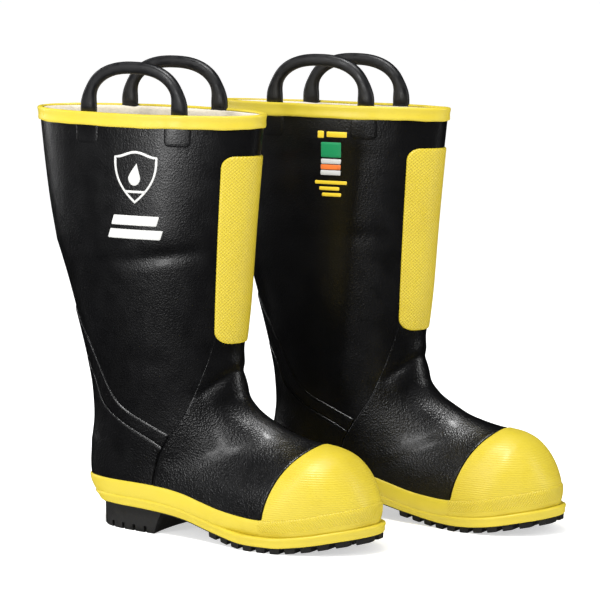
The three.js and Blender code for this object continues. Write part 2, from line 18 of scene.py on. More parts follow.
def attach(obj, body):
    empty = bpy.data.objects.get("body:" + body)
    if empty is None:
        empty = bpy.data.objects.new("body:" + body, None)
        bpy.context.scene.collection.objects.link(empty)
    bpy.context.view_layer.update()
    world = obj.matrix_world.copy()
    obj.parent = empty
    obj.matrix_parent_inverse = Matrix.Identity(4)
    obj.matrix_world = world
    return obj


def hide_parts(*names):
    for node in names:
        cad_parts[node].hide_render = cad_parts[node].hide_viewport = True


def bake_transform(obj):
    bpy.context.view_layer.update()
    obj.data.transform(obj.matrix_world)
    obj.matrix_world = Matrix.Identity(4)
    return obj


bl_info = {
    "name": "Rubber Fire Boots",
    "version": (1, 0, 0),
    "blender": (4, 5, 0),
    "location": "View3D > Sidebar > Boots",
    "description": "Builds a pair of rubber fire boots round its packed frame",
    "category": "Add Mesh",
}

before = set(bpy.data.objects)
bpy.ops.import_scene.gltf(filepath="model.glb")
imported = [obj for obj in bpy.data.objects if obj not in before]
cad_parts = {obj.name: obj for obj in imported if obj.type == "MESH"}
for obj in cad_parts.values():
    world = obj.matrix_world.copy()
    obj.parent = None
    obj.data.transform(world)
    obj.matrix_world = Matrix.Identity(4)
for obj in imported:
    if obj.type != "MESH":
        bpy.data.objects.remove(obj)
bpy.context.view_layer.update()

MM = 0.001
SOLE = 314.0
RIM = 410.0
ANKLE = 150.0
TREAD = 6.0
WALL = 2.2
# where each boot stands: middle line, back of the sole, and which way its outer side faces
BOOTS = {"right": (-84.0, 173.85, -1), "left": (84.0, 64.85, 1)}
SIDES = {"outer": 1, "inner": -1}


# ------------------------------------------------------------------ curves and the last
def curve(points):
    """Smooth monotone curve through points, as a function of the first coordinate."""
    xs, ys = np.array(points, float).T
    steps = np.diff(xs)
    rates = np.diff(ys) / steps
    slopes = np.zeros(len(xs))
    slopes[0], slopes[-1] = rates[0], rates[-1]
    before, after = rates[:-1], rates[1:]
    same = before * after > 0
    slopes[1:-1][same] = (2 * before * after)[same] / (before + after)[same]

    def at(x):
        x = np.asarray(x, float)
        i = np.clip(np.searchsorted(xs, x, side="right") - 1, 0, len(xs) - 2)
        h = steps[i]
        t = np.clip((x - xs[i]) / h, 0, 1)
        a = 2 * t**3 - 3 * t**2 + 1
        b = t**3 - 2 * t**2 + t
        c = t**3 - t**2
        return a * ys[i] + b * h * slopes[i] + (1 - a) * ys[i + 1] + c * h * slopes[i + 1]

    return at


def smooth(x):
    """0 below 0, 1 above 1, and a soft step between."""
    t = np.clip(x, 0, 1)
    return t * t * (3 - 2 * t)


welt_line = curve([
    (0, 25), (0.19 * SOLE, 24.5), (0.3 * SOLE, 22.8), (0.38 * SOLE, 19.6), (0.45 * SOLE, 14.8),
    (0.52 * SOLE, 10.2), (0.59 * SOLE, 7.3), (0.66 * SOLE, TREAD), (0.73 * SOLE, TREAD + 0.2),
    (0.82 * SOLE, 9), (0.92 * SOLE, 14.5), (SOLE, 18.5),
])


def rounded(points):
    """Half width of the sole whose ends close as round noses."""
    squared = curve([(x, y * y) for x, y in points])
    return lambda x: np.sqrt(np.maximum(squared(x), 0))


outer_half = rounded([
    (0, 0), (6, 18), (20, 31), (45, 38), (80, 42), (0.38 * SOLE, 44.5), (0.51 * SOLE, 51),
    (0.64 * SOLE, 60.5), (0.715 * SOLE, 60.5), (0.8 * SOLE, 55), (0.875 * SOLE, 46),
    (0.94 * SOLE, 33), (0.975 * SOLE, 21), (SOLE, 0),
])
inner_half = rounded([
    (0, 0), (6, 18), (20, 31), (45, 37), (80, 38), (0.38 * SOLE, 35.5), (0.51 * SOLE, 36),
    (0.64 * SOLE, 44.5), (0.715 * SOLE, 50), (0.8 * SOLE, 50), (0.875 * SOLE, 45),
    (0.94 * SOLE, 34), (0.975 * SOLE, 22), (SOLE, 0),
])


def floor_line(reach):
    return welt_line(reach) + 5.2


RISE = RIM - ANKLE
# front reach and height, back reach and height, outer and inner half width, squareness of the
# front half and of the back half, and where along it the section is widest
SECTIONS = [
    (184, RIM, -73, RIM, 43, 43, 2, 2, 0.5),
    (177.5, ANKLE + 0.79 * RISE, -66, ANKLE + 0.79 * RISE, 45.5, 45.5, 2, 2, 0.5),
    (171, ANKLE + 0.55 * RISE, -56, ANKLE + 0.55 * RISE, 47.5, 47, 2, 2, 0.5),
    (166, ANKLE + 0.32 * RISE, -43, ANKLE + 0.32 * RISE, 46, 45, 2, 2, 0.5),
    (160, ANKLE + 0.1 * RISE, -27, ANKLE + 0.09 * RISE, 43.5, 43, 2, 2, 0.5),
    (162, ANKLE - 5, -15, ANKLE - 20, 41, 40, 2, 2.1, 0.48),
    (175, ANKLE - 24, -11, ANKLE - 52, 39.5, 37, 2, 2.2, 0.46),
    (195, ANKLE - 36, -11, 66, 39, 36, 2, 2.4, 0.44),
    (211, ANKLE - 43.5, -7, 44, 39, 36, 2, 2.8, 0.42),
    (0.715 * SOLE, 102.5, 16, floor_line(16) - 3, 40, 36, 2.05, 3.6, 0.4),
    (0.745 * SOLE, 100, 0.19 * SOLE, floor_line(0.19 * SOLE) - 3, 42, 36, 2.1, 4.5, 0.36),
    (0.775 * SOLE, 98, 0.34 * SOLE, floor_line(0.34 * SOLE) - 3, 46, 38, 2.1, 5, 0.32),
    (0.805 * SOLE, 96.5, 0.5 * SOLE, floor_line(0.5 * SOLE) - 3, 52, 43, 2.15, 5, 0.3),
    (0.84 * SOLE, 94.5, 0.65 * SOLE, floor_line(0.65 * SOLE) - 3, 55.5, 47.5, 2.2, 5, 0.3),
    (0.878 * SOLE, 90, 0.77 * SOLE, floor_line(0.77 * SOLE) - 3, 51, 47, 2.25, 5, 0.3),
    (0.918 * SOLE, 80, 0.862 * SOLE, floor_line(0.862 * SOLE) - 3, 41.5, 40.5, 2.3, 4, 0.32),
    (0.953 * SOLE, 65, 0.925 * SOLE, floor_line(0.925 * SOLE) - 3, 30, 30, 2.2, 3.5, 0.36),
    (0.975 * SOLE, 49, 0.962 * SOLE, floor_line(0.962 * SOLE) + 2, 16, 16, 2.1, 2.6, 0.42),
    (0.981 * SOLE, 37, 0.979 * SOLE, floor_line(0.98 * SOLE) + 6, 4, 4, 2, 2, 0.5),
]
LAST_END = len(SECTIONS) - 1
CHANNELS = [curve(list(enumerate(column))) for column in zip(*SECTIONS)]
RIM_ROLL = 0.035  # the rim falls this much, per millimetre, towards the outer side


def last_point(s, a):
    """Point of the last at station s (0 rim, LAST_END toe) and angle a (0 front, pi/2 outer)."""
    s, a = np.broadcast_arrays(np.asarray(s, float), np.asarray(a, float))
    fr, fz, br, bz, outer, inner, n_front, n_back, widest = (f(s) for f in CHANNELS)
    c, sine = np.cos(a), np.sin(a)
    n = np.where(c >= 0, n_front, n_back)
    half = np.where(sine >= 0, outer, inner)
    reached = np.abs(c) ** (2 / n)
    forward = np.where(c >= 0, widest + (1 - widest) * reached, widest - widest * reached)
    across = np.sign(sine) * half * np.abs(sine) ** (2 / n)
    roll = -RIM_ROLL * across * np.maximum(1 - s / 3, 0)
    reach = br + (fr - br) * forward
    return np.stack([across, -reach, bz + (fz - bz) * forward + roll], -1)


def last_normal(s, a):
    s, a = np.broadcast_arrays(np.asarray(s, float), np.asarray(a, float))
    ds, da = 0.05, 0.03
    along = last_point(np.minimum(s + ds, LAST_END), a) - last_point(np.maximum(s - ds, 0), a)
    around = last_point(s, a + da) - last_point(s, a - da)
    normal = np.cross(along, around)
    return normal / np.maximum(np.linalg.norm(normal, axis=-1, keepdims=True), 1e-9)


# Soft folds in the rubber: side of the boot, line in side view, half width, and depth
FOLDS = [
    (0, [(-58, 280), (-43, 233), (-27, 176), (-15, 130), (-11, 78)], 30, 7.5),
    (1, [(0, 262), (70, 270), (115, 277), (150, 283)], 7, 1.5),
    (1, [(30, 290), (80, 294), (130, 299)], 12, -0.4),
    (-1, [(5, 355), (42, 358), (87, 361), (135, 363)], 8, 0.7),
    (-1, [(25, 278), (66, 282), (109, 284), (145, 283)], 8, 0.8),
    (0, [(128, 139), (141, 149), (152, 158), (166, 168)], 4.2, 2.2),
    (0, [(138, 132), (154, 143), (172, 150)], 8, -1.5),
    (0, [(136, 186), (155, 184), (170, 183)], 9, 0.8),
    (1, [(126, 132), (139, 118), (150, 100), (156, 84)], 8, 0.8),
    (1, [(96, 66), (112, 78), (128, 100)], 9, 0.6),
    (0, [(40, 176), (70, 168), (104, 172)], 12, 0.8),
    (0, [(8, 98), (24, 84), (44, 76)], 9, 0.5),
]


def distance_to_line(reach, z, line):
    """Distance from points to a line in side view, and the share of the line they lie at."""
    near = np.full(np.shape(reach), 1e9)
    share = np.zeros(np.shape(reach))
    for i, ((r0, z0), (r1, z1)) in enumerate(zip(line, line[1:])):
        dr, dz = r1 - r0, z1 - z0
        t = np.clip(((reach - r0) * dr + (z - z0) * dz) / (dr * dr + dz * dz), 0, 1)
        d = np.hypot(reach - r0 - t * dr, z - z0 - t * dz)
        share = np.where(d < near, (i + t) / (len(line) - 1), share)
        near = np.minimum(near, d)
    return near, share


def folds(points):
    """How far the rubber sinks at these points."""
    across, reach, z = points[..., 0], -points[..., 1], points[..., 2]
    sunk = np.zeros(across.shape)
    for side, line, half, depth in FOLDS:
        d, share = distance_to_line(reach, z, line)
        ends = np.sin(np.pi * np.clip(share, 0.02, 0.98)) ** 0.7
        there = smooth(0.5 + side * across / 16) if side else 1
        sunk += depth * np.exp(-((d / half) ** 2)) * ends * there
    return sunk


def skin(s, a, offset):
    """The last's surface, folds included, moved out by offset."""
    base = last_point(s, a)
    lift = np.asarray(offset) - folds(base)
    return base + last_normal(s, a) * lift[..., None]


# ------------------------------------------------------------------ meshes
def strip_faces(rows, columns, round_columns=True, round_rows=False):
    """Quads of a grid of points stored row by row."""
    last_row = rows if round_rows else rows - 1
    last_column = columns if round_columns else columns - 1
    r, c = np.meshgrid(np.arange(last_row), np.arange(last_column), indexing="ij")
    down, right = (r + 1) % rows, (c + 1) % columns
    quads = np.stack([r * columns + c, r * columns + right, down * columns + right,
                      down * columns + c], -1)
    return quads.reshape(-1, 4).tolist()


def fan(ring, centre, flip):
    """Triangles from a ring of point numbers to one centre."""
    pairs = zip(ring, ring[1:] + ring[:1])
    return [[centre, b, a] if flip else [centre, a, b] for a, b in pairs]


def loft(rings):
    """A closed body through rings of points, its ends filled with fans."""
    rings = np.asarray(rings, float)
    rows, columns = rings.shape[:2]
    count = rows * columns
    points = np.vstack([rings.reshape(-1, 3), rings[0].mean(0), rings[-1].mean(0)])
    faces = strip_faces(rows, columns)
    faces += fan(list(range(columns)), count, True)
    faces += fan(list(range(count - columns, count)), count + 1, False)
    return points, faces


def ring_loft(rings):
    """A closed band: rings of points joined in order and back to the first."""
    rings = np.asarray(rings, float)
    return rings.reshape(-1, 3), strip_faces(*rings.shape[:2], round_rows=True)


def outward(points, faces):
    """The faces, turned so that they enclose a positive volume."""
    points = np.asarray(points, float)
    volume = 0.0
    for size in {len(face) for face in faces}:
        same = np.array([face for face in faces if len(face) == size])
        for b in range(1, size - 1):
            swept = np.cross(points[same[:, b]], points[same[:, b + 1]])
            volume += float(np.sum(points[same[:, 0]] * swept))
    return faces if volume > 0 else [face[::-1] for face in faces]


SHARP_EDGE = math.radians(48)
UV_UNIT = 100.0  # millimetres of rubber to one unit of the surface map


def build_piece(boot, name, points, faces, finish, rides=True, stands_for=(), slot=None, uv=None):
    """Adds one piece of one boot, in place, and lets it ride its body unless rides is False."""
    middle, back, outer = BOOTS[boot]
    placed = (np.asarray(points, float) * (outer, 1, 1) + (middle, back, 0)) * MM
    order = faces if outer > 0 else [face[::-1] for face in faces]
    mesh = bpy.data.meshes.new(f"{boot}_{name}")
    mesh.from_pydata(placed.tolist(), [], order)
    mesh.polygons.foreach_set("use_smooth", [True] * len(mesh.polygons))
    mesh.set_sharp_from_angle(angle=SHARP_EDGE)
    if uv is not None:
        layer = mesh.uv_layers.new(name="surface")
        corners = np.zeros(len(mesh.loops), np.int32)
        mesh.loops.foreach_get("vertex_index", corners)
        layer.data.foreach_set("uv", (np.asarray(uv, float) / UV_UNIT)[corners].ravel())
    mesh.update()
    piece = bpy.data.objects.new(f"{boot}_{name}", mesh)
    bpy.context.scene.collection.objects.link(piece)
    mesh.materials.append(finishes()[finish])
    if rides:
        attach(piece, f"{boot}_boot")
    if stands_for:
        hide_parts(*[f"{boot}_{node}" for node in stands_for])
    return piece


def build_pair(name, points, faces, finish, **facts):
    """Adds one piece to each boot."""
    faces = outward(points, faces)
    return [build_piece(boot, name, points, faces, finish, **facts) for boot in BOOTS]


# ------------------------------------------------------------------ patches laid on the last
class Rolled:
    """Unrolls the leg round its length, starting opposite the angle `middle`."""

    def __init__(self, middle):
        turns = np.linspace(middle - np.pi, middle + np.pi, 361)
        ring = last_point(3, turns)
        stations = np.linspace(0, LAST_END, 361)
        seam = (last_point(stations, np.pi / 2) + last_point(stations, 0.6)) / 2
        self.turns, self.stations = turns, stations
        self.x = self.lengths(ring)
        self.y = self.lengths(seam)

    @staticmethod
    def lengths(line):
        steps = np.linalg.norm(np.diff(line, axis=0), axis=1)
        return np.concatenate([[0], np.cumsum(np.maximum(steps, 1e-4))])

    def flat(self, s, a):
        x, y = np.interp(a, self.turns, self.x), np.interp(s, self.stations, self.y)
        return np.stack([x, y], -1)

    def back(self, flat):
        s = np.interp(flat[:, 1], self.y, self.stations)
        return s, np.interp(flat[:, 0], self.x, self.turns)

    def size(self, s0, s1, a0, a1):
        """Height and width of a window, laid flat."""
        corners = self.flat(np.array([s0, s1]), np.array([a0, a1]))
        return abs(corners[1, 1] - corners[0, 1]), abs(corners[1, 0] - corners[0, 0])


class Capped(Rolled):
    """Flattens the toe round its tip."""

    TIP = 2.0
    WIDE = 240.0

    def flat(self, s, a):
        radius = self.y[-1] - np.interp(s, self.stations, self.y) + self.TIP
        return np.stack([radius * np.sin(a), radius * np.cos(a)], -1)

    def back(self, flat):
        radius = np.hypot(flat[:, 0], flat[:, 1])
        s = np.interp(self.y[-1] + self.TIP - radius, self.y, self.stations)
        return s, np.arctan2(flat[:, 0], flat[:, 1])

    def size(self, s0, s1, a0, a1):
        return np.linalg.norm(last_point(s1, np.pi / 2) - last_point(s0, np.pi / 2)), self.WIDE


FRONT = Rolled(0)
HEEL = Rolled(np.pi)
TOE = Capped(0)


def inside_outline(outline):
    """Signed distance in side view to a closed outline, positive inside."""
    corners = [tuple(map(float, p)) for p in outline]

    def distance(reach, z, _across):
        near = np.full(np.shape(reach), 1e9)
        within = np.zeros(np.shape(reach), bool)
        for (r0, z0), (r1, z1) in zip(corners, corners[1:] + corners[:1]):
            dr, dz = r1 - r0, z1 - z0
            length = max(dr * dr + dz * dz, 1e-12)
            t = np.clip(((reach - r0) * dr + (z - z0) * dz) / length, 0, 1)
            near = np.minimum(near, np.hypot(reach - r0 - t * dr, z - z0 - t * dz))
            if dz:
                crossing = (z0 > z) != (z1 > z)
                within ^= crossing & (reach < r0 + (z - z0) * dr / dz)
        return np.where(within, near, -near)

    return distance


def contours(grid):
    """Lines where a grid of values crosses zero, as lists of (row, column) positions."""
    above = grid > 0
    mixed = (above[:-1, :-1].astype(int) + above[1:, :-1] + above[:-1, 1:] + above[1:, 1:])
    links = {}
    for i, j in np.argwhere((mixed > 0) & (mixed < 4)):
        corners = [(i, j), (i + 1, j), (i + 1, j + 1), (i, j + 1)]
        sides = [tuple(sorted((corners[k], corners[(k + 1) % 4]))) for k in range(4)]
        cut = [side for side in sides if above[side[0]] != above[side[1]]]
        for one, other in zip(cut[::2], cut[1::2]):
            links.setdefault(one, []).append(other)
            links.setdefault(other, []).append(one)
    lines = []
    while links:
        start = next((key for key, ends in links.items() if len(ends) == 1), next(iter(links)))
        line, here = [start], start
        while links.get(here):
            following = links[here].pop(0)
            if following in links and here in links[following]:
                links[following].remove(here)
            if not links[here]:
                del links[here]
            line.append(following)
            here = following
        links.pop(here, None)
        spots = []
        for p, q in line:
            share = grid[p] / (grid[p] - grid[q])
            spots.append((p[0] + (q[0] - p[0]) * share, p[1] + (q[1] - p[1]) * share))
        if len(spots) > 3:
            lines.append(np.array(spots))
    return lines


def evenly(line, places, spacing):
    """A line resampled at about even steps; places are its points in space."""
    steps = np.linalg.norm(np.diff(places, axis=0), axis=1)
    length = np.concatenate([[0], np.cumsum(steps)])
    count = max(int(round(length[-1] / spacing)), 6)
    marks = np.linspace(0, length[-1], count + 1)
    return np.stack([np.interp(marks, length, line[:, k]) for k in range(line.shape[1])], -1)


EDGE_STEP = 1.7  # longest step along an edge, mm
EDGE_CLEAR = 0.55  # gap between the inner points and the last edge line, in point spacings
ROW_STEP = 0.87  # rows of even triangles, as a share of their sides
RIM_DEPTH = 0.6  # depth of a sheet's rim, as a share of its underside's
FADED = 0.12  # what is left of a sheet where it has thinned out, mm


def at_spots(inside, s, a):
    """inside() at stations and angles of the last."""
    place = last_point(s, a)
    return inside(-place[..., 1], place[..., 2], place[..., 0])


def edge_lines(depth, levels, stations, turns, domain, spacing):
    """Points and edges, laid flat, of the lines at each level in from a sheet's edge."""
    points, edges = [], []
    for level, _ in levels:
        for line in contours(depth - level):
            spots = np.stack([np.interp(line[:, 0], np.arange(len(stations)), stations),
                              np.interp(line[:, 1], np.arange(len(turns)), turns)], -1)
            spots = evenly(spots, last_point(spots[:, 0], spots[:, 1]), min(spacing, EDGE_STEP))
            flat = domain.flat(spots[:, 0], spots[:, 1])
            first = len(points)
            closed = np.linalg.norm(flat[0] - flat[-1]) < 1e-6
            flat = flat[:-1] if closed else flat
            points += flat.tolist()
            edges += [(first + i, first + i + 1) for i in range(len(flat) - 1)]
            if closed:
                edges.append((first + len(flat) - 1, first))
    return points, edges


def even_grid(stations, turns, domain, spacing):
    """Points of even triangles over a window of the last, laid flat."""
    everything = domain.flat(*(g.ravel() for g in np.meshgrid(stations, turns, indexing="ij")))
    low, high = everything.min(0), everything.max(0)
    rows = []
    for i, y in enumerate(np.arange(low[1], high[1], spacing * ROW_STEP)):
        x = np.arange(low[0] + (i % 2) * spacing / 2, high[0], spacing)
        rows.append(np.stack([x, np.full(len(x), y)], -1))
    return np.concatenate(rows)


def renumbered(triangles):
    """The point numbers that triangles use, and the triangles counted by those."""
    used, numbers = np.unique(triangles, return_inverse=True)
    return used, numbers.reshape(-1, 3)


def edge_points(triangles):
    """Numbers of the points on the outer edge of a set of triangles."""
    sides = np.sort(np.concatenate([triangles[:, [0, 1]], triangles[:, [1, 2]],
                                    triangles[:, [2, 0]]]), axis=1)
    lines, counts = np.unique(sides, axis=0, return_counts=True)
    return np.unique(lines[counts == 1])


def patch(inside, height, domain, levels, window, spacing=2.2, fine=1.0, sunk=0.3, fade=None):
    """A rubber sheet on the last wherever inside() is positive, with a rounded edge.

    levels are (distance in from the edge, share of the full height). window is the part of the
    last to look in: first and last station, first and last angle. spacing is the size of the
    triangles, fine the step in which the edge is looked for, and sunk how far the underside lies
    in the leg. fade gives the heights between which the sheet thins out to almost nothing.
    """
    s0, s1, a0, a1 = window
    tall, wide = domain.size(*window)
    stations = np.linspace(s0, s1, int(tall / fine) + 2)
    turns = np.linspace(a0, a1, int(wide / fine) + 2)
    depth = at_spots(inside, stations[:, None], turns[None, :])
    points, edges = edge_lines(depth, levels, stations, turns, domain, spacing)
    grid = even_grid(stations, turns, domain, spacing)
    s, a = domain.back(grid)
    kept = at_spots(inside, s, a) > levels[-1][0] + spacing * EDGE_CLEAR
    points += grid[kept & (s >= s0) & (s <= s1)].tolist()
    verts, _, triangles, _, _, _ = delaunay_2d_cdt(
        [Vector(p) for p in points], edges, [], 0, 1e-5, True)
    flat, triangles = np.array([tuple(v) for v in verts]), np.array(triangles)
    within = at_spots(inside, *domain.back(flat[triangles].mean(1))) > 0
    used, triangles = renumbered(triangles[within])
    flat = flat[used]
    s, a = domain.back(flat)
    lift = np.interp(at_spots(inside, s, a), *np.array(levels).T) * height
    if fade:
        there = smooth((fade[1] - last_point(s, a)[:, 2]) / (fade[1] - fade[0]))
        lift = np.minimum(lift, FADED + (lift - FADED) * there)
    rim = edge_points(triangles)
    lift[rim] = -sunk * RIM_DEPTH
    triangles = triangles[~np.isin(triangles, rim).all(1)]
    count = np.arange(len(s))
    under = np.where(np.isin(count, rim), count, count + len(s))
    points = np.vstack([skin(s, a, lift), skin(s, a, np.full(len(s), -sunk))])
    used, faces = renumbered(np.vstack([triangles, under[triangles][:, ::-1]]))
    return points[used], faces.tolist(), np.vstack([flat, flat])[used]


def without(one, other):
    """The first shape with the second cut out of it."""
    return lambda reach, z, across: np.minimum(one(reach, z, across), -other(reach, z, across))


# ------------------------------------------------------------------ finishes
def shade(colour, share, lift=0.0):
    """A darker or lighter cast of a colour."""
    return [min(1, c * share + lift) for c in colour]


class Finish:
    """One node material, built up from helper calls."""

    def __init__(self, name, colour, roughness, **sockets):
        self.material = bpy.data.materials.new(name)
        self.material.use_nodes = True
        self.tree = self.material.node_tree
        self.shader = self.tree.nodes["Principled BSDF"]
        self.colour = (*colour, 1.0)
        self.shader.inputs["Base Color"].default_value = self.colour
        self.shader.inputs["Roughness"].default_value = roughness
        for socket, value in sockets.items():
            self.shader.inputs[socket.replace("_", " ")].default_value = value
        self.height = None
        self.place = self.node("ShaderNodeTexCoord").outputs["Object"]

    def node(self, kind, inputs=None, **settings):
        made = self.tree.nodes.new(kind)
        for key, value in settings.items():
            setattr(made, key, value)
        for key, value in (inputs or {}).items():
            if isinstance(value, bpy.types.NodeSocket):
                self.tree.links.new(value, made.inputs[key])
            else:
                made.inputs[key].default_value = value
        return made

    def maths(self, operation, *values):
        made = self.node("ShaderNodeMath", dict(enumerate(values)), operation=operation)
        return made.outputs[0]

    def noise(self, per_metre, detail=2.0, rough=0.5, place=None):
        made = self.node("ShaderNodeTexNoise", {
            "Vector": place or self.place, "Scale": per_metre, "Detail": detail,
            "Roughness": rough})
        return made.outputs["Fac"]

    def cells(self, per_metre):
        made = self.node("ShaderNodeTexVoronoi", {"Vector": self.place, "Scale": per_metre})
        return made.outputs["Distance"]

    def spread(self, value, low, high, out_low=0.0, out_high=1.0):
        made = self.node("ShaderNodeMapRange", {
            "Value": value, "From Min": low, "From Max": high, "To Min": out_low,
            "To Max": out_high}, interpolation_type="SMOOTHSTEP")
        return made.outputs["Result"]

    def tint(self, fac, colour):
        """Lays a colour over what is there, by fac."""
        base = self.shader.inputs["Base Color"]
        under = base.links[0].from_socket if base.links else self.colour
        mixed = self.node("ShaderNodeMix", {0: fac, 6: under, 7: (*colour, 1.0)}, data_type="RGBA")
        self.tree.links.new(mixed.outputs[2], base)

    def bump(self, value, strength, distance):
        inputs = {"Height": value, "Strength": strength, "Distance": distance}
        if self.height is not None:
            inputs["Normal"] = self.height
        self.height = self.node("ShaderNodeBump", inputs).outputs["Normal"]
        self.tree.links.new(self.height, self.shader.inputs["Normal"])

    def rough(self, value, low, high):
        rough = self.spread(value, 0.3, 0.7, low, high)
        self.tree.links.new(rough, self.shader.inputs["Roughness"])

    def stripes(self, source, along, pitch):
        """Sine ridges across a direction, in units of the source's coordinates."""
        turn = [2 * math.pi / pitch * part for part in along]
        made = self.node("ShaderNodeVectorMath", {0: source, 1: turn}, operation="DOT_PRODUCT")
        return self.maths("SINE", made.outputs["Value"])

    def surface(self):
        return self.node("ShaderNodeUVMap", uv_map="surface").outputs["UV"]

    def part_of(self, source, axis):
        return self.node("ShaderNodeSeparateXYZ", {0: source}).outputs[axis]


def black_rubber(name, colour, gloss=0.3, grain=0.7):
    made = Finish(name, colour, gloss, Specular_IOR_Level=0.4, Coat_Weight=0.15,
                  Coat_Roughness=0.18)
    patches = made.noise(22, 3, 0.6)
    made.tint(made.spread(patches, 0.35, 0.75, 0, 0.6), shade(colour, 1.9, 0.0005))
    made.rough(made.noise(60, 3, 0.5), gloss - 0.01, gloss + 0.07)
    made.bump(made.noise(30, 2, 0.5), 0.15, 0.002)
    made.bump(made.noise(420, 1, 0.4), 0.9, 0.00022 * grain)
    made.bump(made.cells(640), 0.9, 0.00022 * grain)
    return made.material


def yellow_rubber(name, colour, kind="plain"):
    made = Finish(name, colour, 0.42, Coat_Weight=0.06, Coat_Roughness=0.3)
    # a darker cast of the yellow: laid on in random patches as tone of the rubber, and in the
    # hollows of the moulded patterns as painted shade
    deep = [colour[0] * 0.78, colour[1] * 0.7, colour[2] * 0.35]
    made.tint(made.spread(made.noise(16, 4, 0.6), 0.42, 0.8, 0, 0.32), deep)
    made.rough(made.noise(90, 3, 0.6), 0.36, 0.5)
    made.bump(made.noise(45, 3, 0.5), 0.12, 0.0015)
    made.bump(made.noise(900, 2, 0.6), 0.3, 0.00005)
    if kind == "mesh":
        flat = made.surface()
        one = made.stripes(flat, (1, 0, 0), 0.034)
        other = made.stripes(flat, (0, 1, 0), 0.034)
        knots = made.maths("MULTIPLY", one, other)
        # painted shade: the low parts of the mesh relief, between the raised knots, are tinted
        # darker
        made.tint(made.spread(knots, -0.8, 0.4, 0.75, 0.0), deep)
        made.bump(knots, 0.9, 0.00022)
    elif kind == "ribbed":
        high = made.part_of(made.place, "Z")
        ribs = made.stripes(made.place, (0, 0, 1), 0.0021)
        shown = made.spread(high, 0.07, 0.094, 1.0, 0.25)
        ribs = made.maths("MULTIPLY", ribs, shown)
        # painted shade: the grooves between the ribs are tinted darker
        made.tint(made.spread(ribs, -1.0, 0.1, 0.2, 0.0), deep)
        made.bump(ribs, 0.8, 0.0001)
    elif kind == "hatched":
        flat = made.surface()
        hatch = made.stripes(flat, (0.82, 0.57, 0), 0.022)
        level = made.part_of(flat, "Y")
        hatch = made.maths("MULTIPLY", hatch, made.spread(level, 0.055, 0.075))
        # painted shade: the grooves of the hatching are tinted darker
        made.tint(made.spread(hatch, -1.0, 0.1, 0.4, 0.0), deep)
        made.bump(hatch, 0.9, 0.0002)
    return made.material


def matte_rubber(name, colour, roughness, dust):
    made = Finish(name, colour, roughness)
    made.tint(made.spread(made.noise(55, 5, 0.7), 0.5, 0.85, 0, dust), shade(colour, 2.0, 0.02))
    made.rough(made.noise(120, 3, 0.6), roughness - 0.1, roughness + 0.12)
    made.bump(made.noise(420, 4, 0.65), 0.25, 0.0004)
    made.bump(made.noise(1500, 2, 0.6), 0.2, 0.0002)
    return made.material


def felt(name, colour):
    made = Finish(name, colour, 0.95, Sheen_Weight=0.35, Sheen_Roughness=0.5)
    made.tint(made.spread(made.noise(260, 5, 0.75), 0.4, 0.75, 0, 0.5), shade(colour, 0.72))
    stretched = made.node("ShaderNodeMapping", {"Vector": made.place, "Scale": (1, 1, 0.25)})
    made.bump(made.noise(900, 5, 0.8, stretched.outputs[0]), 0.6, 0.0006)
    made.bump(made.noise(140, 3, 0.6), 0.5, 0.001)
    return made.material


def ink(name, colour):
    made = Finish(name, colour, 0.4)
    made.tint(made.spread(made.noise(300, 4, 0.7), 0.55, 0.8, 0, 0.25), shade(colour, 0.6))
    made.bump(made.noise(760, 3, 0.7), 0.25, 0.0003)
    return made.material


def sheet_steel(name, colour):
    made = Finish(name, colour, 0.34, Metallic=1.0)
    rolled = made.node("ShaderNodeMapping", {"Vector": made.place, "Scale": (1, 0.05, 1)})
    grain = made.noise(1200, 4, 0.7, rolled.outputs[0])
    made.rough(grain, 0.26, 0.48)
    made.bump(grain, 0.15, 0.0002)
    return made.material


def fibre_board(name, colour):
    made = Finish(name, colour, 0.85)
    made.tint(made.spread(made.noise(340, 5, 0.8), 0.4, 0.7, 0, 0.6), shade(colour, 0.65))
    made.bump(made.noise(700, 4, 0.7), 0.4, 0.0004)
    return made.material


MADE_FINISHES = {}


def finishes():
    """The materials, made once from the colours in the panel."""
    if not MADE_FINISHES:
        colours = bpy.context.scene.boot_colours
        MADE_FINISHES.update({
            "black": black_rubber("black_rubber", colours.black),
            "vamp": black_rubber("pebbled_black_rubber", colours.black, 0.3, 1.2),
            "yellow": yellow_rubber("yellow_rubber", colours.yellow),
            "mesh": yellow_rubber("yellow_mesh_rubber", colours.yellow, "mesh"),
            "ribbed": yellow_rubber("yellow_ribbed_rubber", colours.yellow, "ribbed"),
            "hatched": yellow_rubber("yellow_hatched_rubber", colours.yellow, "hatched"),
            "handle": matte_rubber("handle_rubber", colours.handle, 0.4, 0.1),
            "tread": matte_rubber("tread_rubber", colours.tread, 0.66, 0.3),
            "felt": felt("cream_felt", colours.felt),
            "board": fibre_board("fibre_board", colours.board),
            "steel": sheet_steel("sheet_steel", colours.steel),
            "white ink": ink("white_ink", colours.white_ink),
            "yellow ink": ink("yellow_ink", colours.yellow_ink),
            "green ink": ink("green_ink", colours.green_ink),
            "orange ink": ink("orange_ink", colours.orange_ink),
        })
    return MADE_FINISHES


# ------------------------------------------------------------------ seams in side view
TOE_JOINT = 214.0  # where the foxing band meets the toe bumper
VAMP_FADE = (118, 168)  # heights between which the vamp thins out under the guard
VAMP_SEAM = [(82, 30), (83, 55), (89, 80), (102, 99), (115, 118), (127, 143), (138, 170)]
CAP_SEAM = [(216, 30), (221, 51), (230, 73), (242, 91), (252, 97), (258, 112)]
STRIP_TOP = [(-60, 226), (-26, 208), (-3, 188), (11, 169), (25, 147), (33, 134), (46, 122),
             (70, 112), (101, 99)]
STRIP_FOOT = [(-60, 172), (-14, 163), (5, 150), (11, 135), (19, 123), (29, 117), (50, 106),
              (82, 93), (94, 86)]
GUARD_TOP, GUARD_FOOT, GUARD_BACK_TOP, GUARD_BACK_FOOT, GUARD_CORNER = 372.0, 190.0, 154, 145, 12
